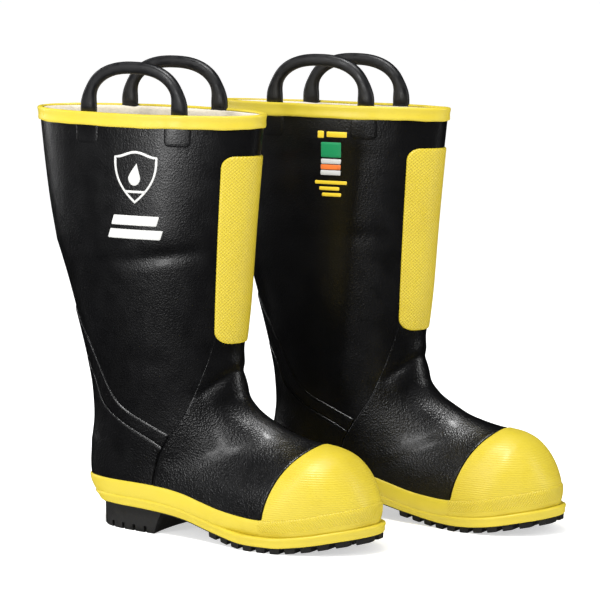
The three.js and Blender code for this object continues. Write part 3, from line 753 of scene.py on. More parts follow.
# edges of sheets: distance in from the edge, share of the full height
THIN_EDGE = [(0, 0), (0.35, 0.5), (0.9, 0.86), (1.7, 1)]
THICK_EDGE = [(0, 0), (0.3, 0.42), (0.9, 0.8), (1.8, 0.97), (2.8, 1)]
SOFT_EDGE = [(0, 0), (1.2, 0.35), (2.6, 0.8), (4.2, 1)]
PRINT_EDGE = [(0, 0), (0.22, 1)]


def flowing(points, step=3.0):
    """A line in side view with its corners smoothed."""
    points = np.array(points, float)
    along = np.concatenate([[0], np.cumsum(np.linalg.norm(np.diff(points, axis=0), axis=1))])
    marks = np.linspace(0, along[-1], int(along[-1] / step) + 1)
    line = np.stack([np.interp(marks, along, points[:, k]) for k in (0, 1)], -1)
    for _ in range(12):
        line[1:-1] = (line[:-2] + 2 * line[1:-1] + line[2:]) / 4
    return [tuple(p) for p in line]


def foxing_top(reach):
    """Height of the upper edge of the band round the sole."""
    return welt_line(reach) + 25 + 4 * np.clip((reach - TOE_JOINT) / 60, 0, 1)


def foxing_run(start, end, lift):
    reaches = np.linspace(start, end, 24)
    return [(r, float(foxing_top(r)) + lift) for r in reaches]


def guard_outline():
    """The guard in side view, with round back corners; its front runs past the shin."""
    turns = np.linspace(0, np.pi / 2, 9)
    near, far = GUARD_CORNER * (1 - np.cos(turns)), GUARD_CORNER * (1 - np.sin(turns))
    return [(260, GUARD_FOOT), (260, GUARD_TOP),
            *zip(GUARD_BACK_TOP + far, GUARD_TOP - near),
            *zip(GUARD_BACK_FOOT + near, GUARD_FOOT + far)]


def vamp_outline():
    seam = flowing([*VAMP_SEAM, (146, 200)])
    front = flowing(CAP_SEAM)[::-1]
    return [*seam, (262, 200), *front, *foxing_run(216, 82, -4)]


def cover_outline():
    return [*flowing(CAP_SEAM), (258, 140), (340, 140), *foxing_run(330, 217, -5)]


def counter_outline():
    top = flowing(STRIP_FOOT)[::-1]
    seam = [(82, 40), (83, 55), (89, 79)]
    return [*foxing_run(-30, 82, -4), *seam, *top]


def strip_outline():
    return [*flowing(STRIP_FOOT), (95, 88.5), *flowing(STRIP_TOP)[::-1]]


# ------------------------------------------------------------------ leg, overlays and liner
LINING_END = 17.4  # station where the leg's inner face stops, at the toe
FELT_BACK, FELT_FACE = 2.5, 7.3  # how far the felt's two faces lie inside the leg's outer face
FELT_UNDERFOOT = 2.1  # how much thicker the felt is under the foot
LIP_RISE = 1.3


def leg_mesh():
    """The rubber leg, lining side first, from the toe up, over the rim and down again."""
    turns = np.linspace(0, 2 * np.pi, 193)[:-1]
    down = np.concatenate([np.linspace(0, 5, 101), np.linspace(5, LAST_END, 106)[1:]])
    up = np.linspace(LINING_END, 0, 60)
    lining = skin(up[:, None], turns[None, :], np.full((len(up), 1), -WALL))
    outside = skin(down[:, None], turns[None, :], np.zeros((len(down), 1)))
    return loft(np.concatenate([lining, outside]))


def liner_mesh():
    """The felt lining, a little uneven, with a soft lip under the rim."""
    turns = np.linspace(0, 2 * np.pi, 145)[:-1]
    down = np.concatenate([np.linspace(0.06, 5, 60), np.linspace(5, 17, 61)[1:]])
    deep = FELT_FACE + FELT_UNDERFOOT * smooth((down - 8.6) / 1.4)
    wave = 0.35 * np.sin(5 * turns[None, :] + 1.7 * down[:, None])
    wave += 0.25 * np.sin(11 * turns[None, :] - 3.1 * down[:, None])
    inside = skin(down[:, None], turns[None, :], wave - deep[:, None])
    back = skin(down[::-1, None], turns[None, :], np.full((len(down), 1), -FELT_BACK))
    lip = []
    for share in np.linspace(0, 1, 9)[1:-1]:
        out = -FELT_BACK - (FELT_FACE - FELT_BACK) * share
        rise = LIP_RISE * np.sin(np.pi * share) ** 0.6
        ring = skin(0.03, turns, np.full(len(turns), out) + 0.3 * np.sin(5 * turns) * share)
        ring[:, 2] += rise + 0.35 * np.sin(3 * turns + 1) * np.sin(np.pi * share)
        lip.append(ring)
    return loft(np.concatenate([back, np.array(lip), inside]))


RIM_DEPTHS = np.linspace(0, 0.7, 60)
RIM_FALL = last_point(0, np.pi / 2)[2] - last_point(RIM_DEPTHS, np.pi / 2)[:, 2]


def rim_ring(turns, out, up):
    """A ring parallel to the rim: out from the leg's face, up from its top edge."""
    s = np.interp(-np.minimum(up, 0), RIM_FALL, RIM_DEPTHS)
    ring = skin(s, turns, np.broadcast_to(out, turns.shape))
    ring[:, 2] += np.maximum(up, 0)
    return ring


# the pull handles: middle, distance between feet, and the hinge's place out from the middle
# line and above the rim
HANDLE_REACH = 60.5
HANDLE_SPAN = 104.0
HINGE_OUT = 35.72
HINGE_ABOVE = 6.5
HANDLE_ENDS = {"front": HANDLE_SPAN / 2, "rear": -HANDLE_SPAN / 2}
PAD_HALF, PAD_LOW, PAD_HIGH, PAD_CORNER = 14.5, RIM - 31, RIM - 9, 6
# section of the rim binding: out from the leg's face, up from its top edge
BINDING_PROFILE = [
    (-0.3, -11.2), (0.9, -11.7), (1.8, -11.4), (2.25, -10.5), (2.3, -9.2), (2.0, -7.4),
    (1.75, -5.3), (1.85, -3), (2.15, -1), (2.1, 0.3), (1.6, 1.1), (0.8, 1.5), (-0.3, 1.55),
    (-1.4, 1.3), (-2.1, 0.7), (-2.3, -0.4), (-1.6, -2), (-0.8, -7),
]
BINDING_BULGE = 0.8  # how far the binding is pushed out by a handle's foot


def binding_mesh():
    """The binding folded over the rim, with an uneven hem."""
    turns = np.linspace(0, 2 * np.pi, 241)[:-1]
    reach = -last_point(0, turns)[:, 1]
    bulge = sum(np.exp(-(((reach - HANDLE_REACH - end) / 11) ** 4))
                for end in HANDLE_ENDS.values())
    hem = 0.35 * np.sin(7 * turns + 0.5) + 0.2 * np.sin(17 * turns)
    rings = []
    for out, up in BINDING_PROFILE:
        loose = bulge * (BINDING_BULGE if out > 0 else 0)
        low = hem if up < -9 else 0.3 * hem
        rings.append(rim_ring(turns, out + loose, up + low * 0.8))
    return ring_loft(np.array(rings))


def pad_shape(end):
    """Soft raised pad under the rim where a handle's foot is moulded in."""
    middle = HANDLE_REACH + end
    centre, half_tall = (PAD_LOW + PAD_HIGH) / 2, (PAD_HIGH - PAD_LOW) / 2

    def inside(reach, z, _across):
        dr = np.abs(reach - middle) - (PAD_HALF - PAD_CORNER)
        dz = np.abs(z - centre) - (half_tall - PAD_CORNER)
        away = np.hypot(np.maximum(dr, 0), np.maximum(dz, 0)) + np.minimum(np.maximum(dr, dz), 0)
        return PAD_CORNER - away

    return inside


def one_side(inside, side):
    """Keeps a shape to one side of the boot."""
    return lambda reach, z, across: np.minimum(inside(reach, z, across), across * side - 12)


# ------------------------------------------------------------------ band and sole
class SoleLine:
    """The sole's outline, with the upper's face above each point of it."""

    def __init__(self):
        reach = SOLE * (1 - np.cos(np.linspace(0, np.pi, 1500))) / 2
        side = np.stack([outer_half(reach), -reach], -1)
        other = np.stack([-inner_half(reach), -reach], -1)[::-1]
        line = np.vstack([side, other[1:]])
        steps = np.linalg.norm(np.diff(line, axis=0), axis=1)
        along = np.concatenate([[0], np.cumsum(steps)])
        self.around = np.linspace(0, along[-1], 341)[:-1]
        self.plan = np.stack([np.interp(self.around, along, line[:, k]) for k in (0, 1)], -1)
        tangent = np.roll(self.plan, -1, 0) - np.roll(self.plan, 1, 0)
        out = np.stack([-tangent[:, 1], tangent[:, 0]], -1)
        for _ in range(6):
            out = (np.roll(out, 1, 0) + 2 * out + np.roll(out, -1, 0)) / 4
        self.out = out / np.linalg.norm(out, axis=1, keepdims=True)
        self.reach = -self.plan[:, 1]
        stations = np.linspace(4, LAST_END, 240)
        turns = np.linspace(0, 2 * np.pi, 193)[:-1]
        points, faces = loft(last_point(stations[:, None], turns[None, :]))
        self.last = BVHTree.FromPolygons([tuple(p) for p in points], faces)

    def face_of_upper(self, height):
        """The upper's face all the way round, at these heights above the welt line."""
        places = []
        for plan, out, reach, lift in zip(self.plan, self.out, self.reach, height):
            z = float(welt_line(reach)) + lift
            start = Vector((*(plan + out * 26), z))
            hit = self.last.ray_cast(start, Vector((-out[0], -out[1], 0)))[0]
            places.append(tuple(hit) if hit else (*plan, z))
        return np.array(places)


BAND_FOOT = 9.0  # height of the band's lower edge above the welt line
BAND_BACK = 0.6  # how far the band's back lies in the upper
# sections of the two bands: share of the height, share of the thickness
FOXING_PROFILE = [
    (0, 0.75), (0.03, 0.95), (0.1, 1), (0.25, 0.97), (0.42, 0.95), (0.6, 0.97), (0.78, 1),
    (0.9, 0.97), (0.96, 0.8), (0.99, 0.5), (1, 0.1),
]
BUMPER_PROFILE = [
    (0, 0.85), (0.04, 1), (0.12, 1.06), (0.17, 1.0), (0.2, 0.9), (0.3, 0.92), (0.5, 0.97),
    (0.75, 1), (0.9, 0.97), (0.96, 0.8), (0.99, 0.5), (1, 0.1),
]
# section of the ridge: out from the sole's outline, up from the welt line, and how much of the
# upper's overhang it follows
WELT_PROFILE = [
    (-7, 8.9, 0), (-2.2, 9.6, 0.7), (-0.3, 9.7, 1), (0.75, 9.2, 1), (1.25, 8.1, 1), (1.2, 6.9, 1),
    (0.75, 5.6, 0.85), (0.5, 4.2, 0.6), (0.55, 2.6, 0.35), (0.5, 1.2, 0.2), (0.0, 0.25, 0.1),
    (-0.9, -0.25, 0), (-7, -0.3, 0),
]
WELT_PROUD = 2.3
SHEET_INSET, SHEET_LOW, SHEET_HIGH, SHEET_END = 1.5, -1.2, 3.5, 1.8


def band_mesh(line, columns, profile, thick, top):
    """A closed strip on the upper, along the given columns of the sole's outline."""
    shares = np.array([share for share, _ in profile])
    rows = np.array([line.face_of_upper(BAND_FOOT + (top - BAND_FOOT) * s) for s in shares])
    across = np.roll(rows, -1, 1) - np.roll(rows, 1, 1)
    up = np.gradient(rows, axis=0)
    normal = np.cross(across, up)
    normal /= np.maximum(np.linalg.norm(normal, axis=-1, keepdims=True), 1e-9)
    flat = np.sum(normal[..., :2] * line.out[None], -1)
    normal *= np.sign(flat)[..., None]
    normal[..., 2] = np.clip(normal[..., 2], -0.75, 0.75)
    front = rows + normal * np.array([t * thick for _, t in profile])[:, None, None]
    behind = rows[[-1, 0]] - normal[[-1, 0]] * BAND_BACK
    rings = np.concatenate([front, behind])[:, columns]
    points = rings.transpose(1, 0, 2)
    length = line.around[columns]
    length = length - length[0]
    length = np.where(length < -1e-6, length + line.around[-1], length)
    level = np.append(shares, (1, 0)) * (top.max() - BAND_FOOT)
    uv = np.stack(np.broadcast_arrays(length[:, None], level[None, :]), -1).reshape(-1, 2)
    points, faces = loft(points)
    return points, faces, np.vstack([uv, uv[:1], uv[-1:]])


def welt_mesh(line):
    """The ridge at the foot of the band, all the way round."""
    foot = line.face_of_upper(np.full(len(line.reach), 9.5))
    overhang = np.sum((foot[:, :2] - line.plan) * line.out, axis=1)
    proud = np.maximum(overhang + WELT_PROUD, 0.2)
    for _ in range(8):
        proud = (np.roll(proud, 1) + 2 * proud + np.roll(proud, -1)) / 4
    rings = []
    for out, high, follow in WELT_PROFILE:
        plan = line.plan + line.out * (out + proud * follow)[:, None]
        rings.append(np.column_stack([plan, welt_line(line.reach) + high]))
    return ring_loft(np.array(rings))


def sheet_mesh():
    """The outsole's sheet, a little inside the sole's outline, following the welt line."""
    start, end = SHEET_END, SOLE - SHEET_END
    reaches = start + (end - start) * (1 - np.cos(np.linspace(0.03, np.pi - 0.03, 120))) / 2
    rings = []
    for reach in reaches:
        grown = (reach - SHEET_INSET) * SOLE / (SOLE - 2 * SHEET_INSET)
        outer, inner = [max(float(half(grown)) - SHEET_INSET * 0.8, 0.4)
                        for half in (outer_half, inner_half)]
        low, high = [float(welt_line(reach)) + level for level in (SHEET_LOW, SHEET_HIGH)]
        rings.append([(outer, -reach, low), (outer, -reach, high), (-inner, -reach, high),
                      (-inner, -reach, low)])
    return loft(np.array(rings))


LUG_PITCH, LUG_GAP, LUG_START = 15.0, 5.2, 152.0
LUG_EDGE = 1.2  # how far the lugs stay inside the sole's outline
# section of a lug: how much it has shrunk, and how far it is below the welt line
LUG_PROFILE = [(0, 0.8), (0.25, 4.8), (0.5, 5.6), (1.0, TREAD)]


def lug_mesh():
    """Chamfered blocks in rows under the forefoot."""
    points, faces = [], []
    for start in np.arange(LUG_START, SOLE - 9, LUG_PITCH):
        r0, r1 = start, min(start + LUG_PITCH - LUG_GAP, SOLE - 3.2)
        middle = (r0 + r1) / 2
        for half, sign in ((outer_half, 1), (inner_half, -1)):
            edge = [max(float(half(r)) - LUG_EDGE, 2.0) for r in (r0, middle, r1)]
            columns = [(3.5, None)] if min(edge) < 26 else [(3.5, 19.5), (22.5, None)]
            for near, far in columns:
                away = [far or e for e in edge]
                if min(away) - near < 3:
                    continue
                plan = [(near, r0), (away[0], r0), (away[1], middle), (away[2], r1), (near, r1)]
                plan = np.array([(sign * x, -r) for x, r in plan])
                rings = []
                centre = plan.mean(0)
                size = np.abs(plan - centre).max(0)
                for shrink, depth in LUG_PROFILE:
                    ring = centre + (plan - centre) * (1 - shrink / size)
                    z = welt_line(-ring[:, 1]) - depth
                    rings.append(np.column_stack([ring, np.maximum(z, 0)]))
                block, sides = loft(np.array(rings))
                sides = outward(block, sides)
                faces += [[i + len(points) for i in face] for face in sides]
                points += block.tolist()
    return np.array(points), faces


HEEL_LENGTH = 84.0
NOTCH_DEPTH, NOTCH_WIDTH, NOTCH_PITCH, FIRST_NOTCH = 15.0, 3.4, 14.2, 12.0
NOTCHES = [(start, start + NOTCH_WIDTH) for start in FIRST_NOTCH + NOTCH_PITCH * np.arange(5)]
HEEL_TOP = 1.4  # how far the block's top stays below the welt line
BREAST_SLOPE, BREAST_ARCH = 9.0, 4.0
# rings of the block: height, share of the notches' depth, and how far the edge is drawn in; the
# last ring is the top, which follows the welt line
HEEL_PROFILE = [(0, 1, 0.7), (0.6, 1, 0.1), (6.3, 1, 0), (6.5, 0, 0), (14, 0, 0), (None, 0, 0)]


def heel_mesh():
    """Heel block with small notches along both lower edges and a sloping breast."""

    def side(half, sign):
        marks = [0.8, 2.0, 4.5, 8.0]
        for r0, r1 in NOTCHES:
            marks += [r0, r0 + 0.05, r1 - 0.05, r1, r1 + 5.4]
        marks = sorted(m for m in marks if m < HEEL_LENGTH)
        spots = []
        for mark in marks:
            deep = any(r0 < mark < r1 for r0, r1 in NOTCHES)
            width = max(float(half((mark - 2.2) * SOLE / (SOLE - 4.4))) - 2.0, 1.0)
            spots.append((sign * width, mark + 1.8, NOTCH_DEPTH if deep else 0.0))
        spots.append((sign * (max(float(half(HEEL_LENGTH)) - 2.4, 1)), HEEL_LENGTH, 0.0))
        return spots

    outer = side(outer_half, 1)
    inner = side(inner_half, -1)[::-1]
    breast = [(x, HEEL_LENGTH, 0.0) for x in np.linspace(30, -30, 9)]
    plan = outer + breast + inner
    rings = []
    for high, notch, inset in HEEL_PROFILE:
        ring = []
        for x, reach, deep in plan:
            z = float(welt_line(min(reach, HEEL_LENGTH))) - HEEL_TOP if high is None else high
            forward = reach + inset
            if reach >= HEEL_LENGTH:
                slope = BREAST_SLOPE * (z / 24) ** 1.4
                forward = reach + slope - BREAST_ARCH * (1 - (x / 42) ** 2) - inset
            ring.append((x - np.sign(x) * (deep * notch + inset), -forward, z))
        rings.append(ring)
    points = np.array(rings).reshape(-1, 3)
    rows, columns = len(rings), len(plan)
    faces = strip_faces(rows, columns)
    faces.append(list(range(columns)))
    top = np.array(rings[-1]).mean(0)
    points = np.vstack([points, top])
    faces += fan(list(range((rows - 1) * columns, rows * columns)), rows * columns, False)
    faces[(rows - 1) * columns] = faces[(rows - 1) * columns][::-1]
    return points, faces


# ------------------------------------------------------------------ pull handles
GRIP_RISE = 38.5
GRIP_WIDE, GRIP_THICK = 12.0, 8.8
FOOT_WIDE, FOOT_THICK = 5.8, -0.6  # what the grip's section gains towards its feet
FOOT_APART = 0.4
# sections of a foot, from its end up: height from the hinge, width and thickness
FOOT_SECTIONS = [
    (-15, 18.0, 2.4), (-12, 18.4, 2.6), (-9, 18.6, 3.0), (-6.5, 18.6, 4.4), (-4, 18.2, 6.2),
    (-2, 17.9, 7.6),
]


def squared(wave, power):
    """A sine or cosine with its sign kept and its size raised to a power."""
    return np.sign(wave) * np.abs(wave) ** power


def arch(t):
    """Centre line of a grip: reach and height above its hinge, at share t from front to back."""
    turn = np.pi * t
    power = 2 / 2.4
    reach = squared(np.cos(turn), power) * HANDLE_SPAN / 2
    return np.array([reach, GRIP_RISE * np.sin(turn) ** power])


def handle_mesh(side):
    """One handle: a foot, the arched grip and the other foot."""
    rings = []
    turns = np.linspace(0, 2 * np.pi, 25)[:-1]

    def section(reach, up, lean, wide, thick):
        flat = squared(np.cos(turns), 0.74) * thick / 2
        along = squared(np.sin(turns), 0.74) * wide / 2
        across, back, high = flat, reach + along * np.cos(lean), up + along * np.sin(lean)
        rings.append(np.stack([across, -back, high], -1))

    for up, wide, thick in FOOT_SECTIONS:
        section(HANDLE_SPAN / 2 + FOOT_APART, up, 0, wide, thick)
    for t in np.linspace(0, 1, 57):
        here, before, after = arch(t), arch(max(t - 0.01, 0)), arch(min(t + 0.01, 1))
        lean = math.atan2(before[0] - after[0], after[1] - before[1])
        flare = smooth(1 - here[1] / 20)
        section(here[0] + np.sign(here[0]) * FOOT_APART * flare, here[1], lean,
                GRIP_WIDE + FOOT_WIDE * flare, GRIP_THICK + FOOT_THICK * flare)
    for up, wide, thick in FOOT_SECTIONS[::-1]:
        section(-HANDLE_SPAN / 2 - FOOT_APART, up, math.pi, wide, thick)
    across = side * HINGE_OUT
    points, faces = loft(np.array(rings))
    return points + (across, -HANDLE_REACH, RIM - RIM_ROLL * across + HINGE_ABOVE), faces


# ------------------------------------------------------------------ prints
def slanted(r0, r1, z0, z1, lean=0.0):
    """A bar between two reaches and two heights, its top moved forward by lean."""
    return inside_outline([(r0, z0), (r1, z0), (r1 + lean, z1), (r0 + lean, z1)])


def shield(middle, centre, half, tall):
    """Outline of a plain shield."""
    points = []
    for t in np.linspace(-1, 1, 17):
        points.append((middle + half * t, centre + tall * (0.78 + 0.10 * math.cos(math.pi * t))))
    for side, steps in ((1, np.linspace(0, 1, 12)), (-1, np.linspace(1, 0, 12))):
        for t in steps[1:]:
            across = side * half * (1 - t**2.4)
            points.append((middle + across, centre + tall * (0.62 - 1.62 * t)))
    return inside_outline(points)


def flame(middle, centre, size):
    """Outline of a plain flame: a drop with a bent tip."""
    points = []
    for t in np.linspace(0, 2 * np.pi, 41)[:-1]:
        high = -math.cos(t)
        wide = math.sin(t) * 0.55 * (1 - max(high, 0)) ** 0.75
        bend = 0.22 * max(high, 0) ** 1.5
        tall = size * (1.15 if high > 0 else 0.62)
        points.append((middle + size * (wide + bend), centre + tall * high))
    return inside_outline(points)


def outer_prints():
    """Emblem and bars on the outer side: (name, shape, ink)."""
    emblem = without(shield(68, 351, 24.5, 27), shield(68, 351, 21.8, 24.1))
    return [
        ("emblem_ring", emblem, "white ink"),
        ("emblem_flame", flame(67, 349, 12.5), "white ink"),
        ("emblem_base", slanted(56, 80, 334.2, 336.6), "white ink"),
        ("upper_bar", slanted(41, 92, 303, 312.5, 3), "white ink"),
        ("lower_bar", slanted(37, 96, 290, 299, 3), "white ink"),
    ]


def inner_prints():
    """Small bars and blocks on the inner side."""
    return [
        ("small_mark", slanted(63, 70, 380, 387), "yellow ink"),
        ("small_bar", slanted(73, 95, 381, 386.5), "yellow ink"),
        ("green_block", slanted(67, 89, 361, 376), "green ink"),
        ("white_block", slanted(67, 89, 354.6, 359.5), "white ink"),
        ("orange_bar", slanted(67, 89, 349, 354), "orange ink"),
        ("white_base", slanted(67, 89, 343.5, 348.4), "white ink"),
        ("first_bar", slanted(61, 96, 334.5, 338), "yellow ink"),
        ("second_bar", slanted(66, 88, 328.5, 332), "yellow ink"),
        ("third_bar", slanted(69, 90, 322.5, 326), "yellow ink"),
    ]


# ------------------------------------------------------------------ sizes and colours in the panel
def colour_prop(name, words, value):
    return bpy.props.FloatVectorProperty(
        name=name, description=words, default=value, size=3, min=0, max=1, subtype="COLOR")


def length_prop(name, words, value):
    return bpy.props.FloatProperty(
        name=name, description=words, default=value, min=0, soft_max=0.02, precision=4,
        subtype="DISTANCE", unit="LENGTH")


class BootSizes(bpy.types.PropertyGroup):
    """Thicknesses of the rubber laid over the leg."""

    vamp: length_prop("Vamp", "Thickness of the vamp and heel counter", 0.0015)
    strip: length_prop("Ankle strip", "Thickness of the strip above the counter", 0.0012)
    guard: length_prop("Shin guard", "Thickness of the shin guard", 0.002)
    cover: length_prop("Toe cover", "Thickness of the cover over the steel toe", 0.0022)
    foxing: length_prop("Foxing", "Thickness of the band round the upper", 0.0028)
    bumper: length_prop("Toe bumper", "Thickness of the band round the toe", 0.0034)
    pad: length_prop("Handle pad", "Height of the pads under the handles", 0.0004)
    print: length_prop("Print", "Thickness of the printed marks", 0.0002)


class BootColours(bpy.types.PropertyGroup):
    """Colours of the rubber, felt and ink."""

    black: colour_prop("Black rubber", "Leg, vamp and counter", (0.0028, 0.0028, 0.0032))
    yellow: colour_prop("Yellow rubber", "Binding, guard, toe and foxing", (0.60, 0.475, 0.03))
    handle: colour_prop("Handles", "Pull handles", (0.007, 0.007, 0.008))
    tread: colour_prop("Tread", "Outsole and heel", (0.013, 0.0125, 0.0115))
    felt: colour_prop("Felt", "Lining", (0.72, 0.66, 0.54))
    board: colour_prop("Board", "Insole board", (0.40, 0.27, 0.12))
    steel: colour_prop("Steel", "Toe cap, plate and shank", (0.55, 0.56, 0.58))
    white_ink: colour_prop("White ink", "Emblem and bars", (0.60, 0.60, 0.58))
    yellow_ink: colour_prop("Yellow ink", "Small bars", (0.85, 0.60, 0.03))
    green_ink: colour_prop("Green ink", "Upper block of the small label", (0.01, 0.28, 0.10))
    orange_ink: colour_prop("Orange ink", "Bar on the small label", (0.80, 0.18, 0.03))


def thickness(name):
    return getattr(bpy.context.scene.boot_sizes, name) / MM


# ------------------------------------------------------------------ operators
def add_patch(name, inside, tall, finish, domain, window, levels=THIN_EDGE, nodes=(), slot=None,
              **facts):
    """Lays one sheet of rubber or ink on both boots."""
    points, faces, uv = patch(inside, tall, domain, levels, window, **facts)
    return build_pair(name, points, faces, finish, stands_for=nodes, slot=slot, uv=uv)


class BOOTS_OT_leg(bpy.types.Operator):
    """Black rubber legs with their soft folds"""

    bl_idname = "boots.leg"
    bl_label = "Rubber legs"

    def execute(self, context):
        points, faces = leg_mesh()
        build_pair("leg", points, faces, "black", stands_for=["leg_shell"], slot="black_rubber")
        for name, end in HANDLE_ENDS.items():
            for word, side in SIDES.items():
                window = (0.05, 1.2, 0.2 * side, 2.9 * side)
                add_patch(f"{word}_{name}_handle_pad", one_side(pad_shape(end), side),
                          thickness("pad"), "black", FRONT, window, levels=SOFT_EDGE,
                          slot="black_rubber", spacing=2.4)
        return {"FINISHED"}


class BOOTS_OT_overlays(bpy.types.Operator):
    """Vamp, heel counter and ankle strip laid over the legs"""

    bl_idname = "boots.overlays"
    bl_label = "Black overlays"

    def execute(self, context):
        heel = (0.7, 2 * np.pi - 0.7)
        for name, outline, tall, domain, window, fade in (
                ("vamp", vamp_outline(), "vamp", FRONT, (3.0, 15.6, -2.9, 2.9), VAMP_FADE),
                ("heel_counter", counter_outline(), "vamp", HEEL, (3, 13, *heel), None),
                ("ankle_strip", strip_outline(), "strip", HEEL, (2, 10, *heel), None)):
            add_patch(name, inside_outline(outline), thickness(tall), "vamp", domain, window,
                      nodes=[name], slot="black_rubber", fade=fade)
        return {"FINISHED"}


class BOOTS_OT_guards(bpy.types.Operator):
    """Yellow shin guards and toe covers"""

    bl_idname = "boots.guards"
    bl_label = "Yellow guards"

    def execute(self, context):
        add_patch("shin_guard", inside_outline(guard_outline()), thickness("guard"), "mesh", FRONT,
                  (0.2, 4.6, -2.4, 2.4), levels=THICK_EDGE, nodes=["shin_guard"],
                  slot="yellow_rubber")
        add_patch("toe_cover", inside_outline(cover_outline()), thickness("cover"), "ribbed",
                  TOE, (8, 17.9, -3.1, 3.1), levels=THICK_EDGE, nodes=["toe_cap_cover"],
                  slot="yellow_rubber")
        return {"FINISHED"}


class BOOTS_OT_foxing(bpy.types.Operator):
    """Yellow band round the sole, thicker strip round the toe, and the welt ridge"""

    bl_idname = "boots.foxing"
    bl_label = "Foxing and welt"

    def execute(self, context):
        line = SoleLine()
        count = len(line.reach)
        top = foxing_top(line.reach) - welt_line(line.reach)
        fore = np.where(line.reach > TOE_JOINT)[0]
        aft = np.array([i % count for i in range(fore[-1] + 1, fore[0] + count)])
        aft = np.concatenate([[fore[-1]], aft, [fore[0]]])
        points, faces, uv = band_mesh(line, aft, FOXING_PROFILE, thickness("foxing"), top)
        build_pair("foxing_band", points, faces, "yellow", stands_for=["foxing_band"],
                   slot="yellow_rubber", uv=uv)
        points, faces, uv = band_mesh(line, fore, BUMPER_PROFILE, thickness("bumper"), top)
        build_pair("toe_bumper", points, faces, "hatched", stands_for=["toe_bumper_strip"],
                   slot="yellow_rubber", uv=uv)
        points, faces = welt_mesh(line)
        build_pair("welt_ridge", points, faces, "yellow", stands_for=["welt"],
                   slot="yellow_rubber")
        return {"FINISHED"}


class BOOTS_OT_soles(bpy.types.Operator):
    """Outsoles with forefoot lugs, and heel blocks"""

    bl_idname = "boots.soles"
    bl_label = "Soles and heels"

    def execute(self, context):
        points, faces = sheet_mesh()
        build_pair("sole_sheet", points, faces, "tread", stands_for=["outsole"],
                   slot="tread_rubber")
        points, faces = lug_mesh()
        for boot in BOOTS:
            build_piece(boot, "lugs", points, faces, "tread", slot="tread_rubber")
        points, faces = heel_mesh()
        build_pair("heel", points, faces, "tread", stands_for=["heel_block"], slot="tread_rubber")
        return {"FINISHED"}


class BOOTS_OT_rims(bpy.types.Operator):
    """Yellow rim bindings and the felt linings"""

    bl_idname = "boots.rims"
    bl_label = "Rims and linings"

    def execute(self, context):
        points, faces = binding_mesh()
        build_pair("rim_binding", points, faces, "yellow", stands_for=["top_binding"],
                   slot="yellow_rubber")
        points, faces = liner_mesh()
        build_pair("felt_lining", points, faces, "felt", stands_for=["felt_liner"], slot="felt")
        return {"FINISHED"}


class BOOTS_OT_handles(bpy.types.Operator):
    """Rubber pull handles, each an arched grip between two feet"""

    bl_idname = "boots.handles"
    bl_label = "Pull handles"

    def execute(self, context):
        for word, side in SIDES.items():
            points, faces = handle_mesh(side)
            pair = build_pair(f"{word}_pull_handle", points, faces, "handle", rides=False,
                              stands_for=[f"handle_{word}"], slot="handle_rubber")
            for piece, boot in zip(pair, BOOTS):
                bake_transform(piece)
        return {"FINISHED"}


class BOOTS_OT_prints(bpy.types.Operator):
    """Plain printed marks on the legs"""

    bl_idname = "boots.prints"
    bl_label = "Printed marks"

    def execute(self, context):
        for (word, side), shapes in zip(SIDES.items(), (outer_prints(), inner_prints())):
            window = (0.2, 2.6, 0.9 * side, 2.4 * side)
            for name, shape, colour in shapes:
                add_patch(f"{word}_{name}", one_side(shape, side), thickness("print"), colour,
                          FRONT, window, levels=PRINT_EDGE, spacing=2.6, fine=0.4, sunk=0.05)
        return {"FINISHED"}


INSIDE_FINISHES = {
    "footbed": "felt", "insole_board": "board", "midsole_filler": "board", "steel": "steel",
    "toe_cap_gasket": "black", "handle_anchor": "handle",
}


class BOOTS_OT_insides(bpy.types.Operator):
    """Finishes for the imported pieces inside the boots"""

    bl_idname = "boots.insides"
    bl_label = "Inner pieces"

    def execute(self, context):
        for name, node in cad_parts.items():
            if node.hide_render:
                continue
            found = [f for key, f in INSIDE_FINISHES.items() if key in name]
            if not found:
                raise RuntimeError(f"no finish for {name}")
            node.data.materials.clear()
            node.data.materials.append(finishes()[found[0]])
        return {"FINISHED"}


class BOOTS_OT_stage(bpy.types.Operator):
    """Pale floor, soft lights and the camera"""

    bl_idname = "boots.stage"
    bl_label = "Stage"

    def execute(self, context):
        context.scene.view_settings.view_transform = "Standard"
        add_floor()
        for name, facts in LIGHTS.items():
            add_light(name, *facts)
        add_world()
        add_camera()
        return {"FINISHED"}


# ------------------------------------------------------------------ stage
FLOOR_HALF, FLOOR_ROWS = 30.0, 25
LENS, SHIFT = 179.6, (0.0103, 0.0543)
AZIMUTH, ELEVATION, DISTANCE = math.radians(-59), math.radians(8.5), 2.95
TARGET = Vector((-0.0076, 0.001, 0.191))
TOWARDS_CAMERA = Vector((math.sin(AZIMUTH) * math.cos(ELEVATION),
                         -math.cos(AZIMUTH) * math.cos(ELEVATION), math.sin(ELEVATION)))
TO_THE_RIGHT = Vector((math.cos(AZIMUTH), math.sin(AZIMUTH), 0))
# metres to the right, towards the camera and up, then width and height of the panel, and watts
LIGHTS = {
    "key_light": (-0.5, 0.8, 2.3, 0.36, 0.45, 42),
    "low_light": (-1.5, 1.3, 0.75, 0.22, 0.9, 13),
    "side_light": (1.7, 0.5, 0.8, 0.25, 1.0, 7),
    "top_light": (0.2, 0.1, 2.2, 0.45, 0.45, 7),
    "rim_light": (-1.7, -0.9, 0.8, 0.3, 1.3, 7),
}
LIT_POINT = Vector((0, 0, 0.2))


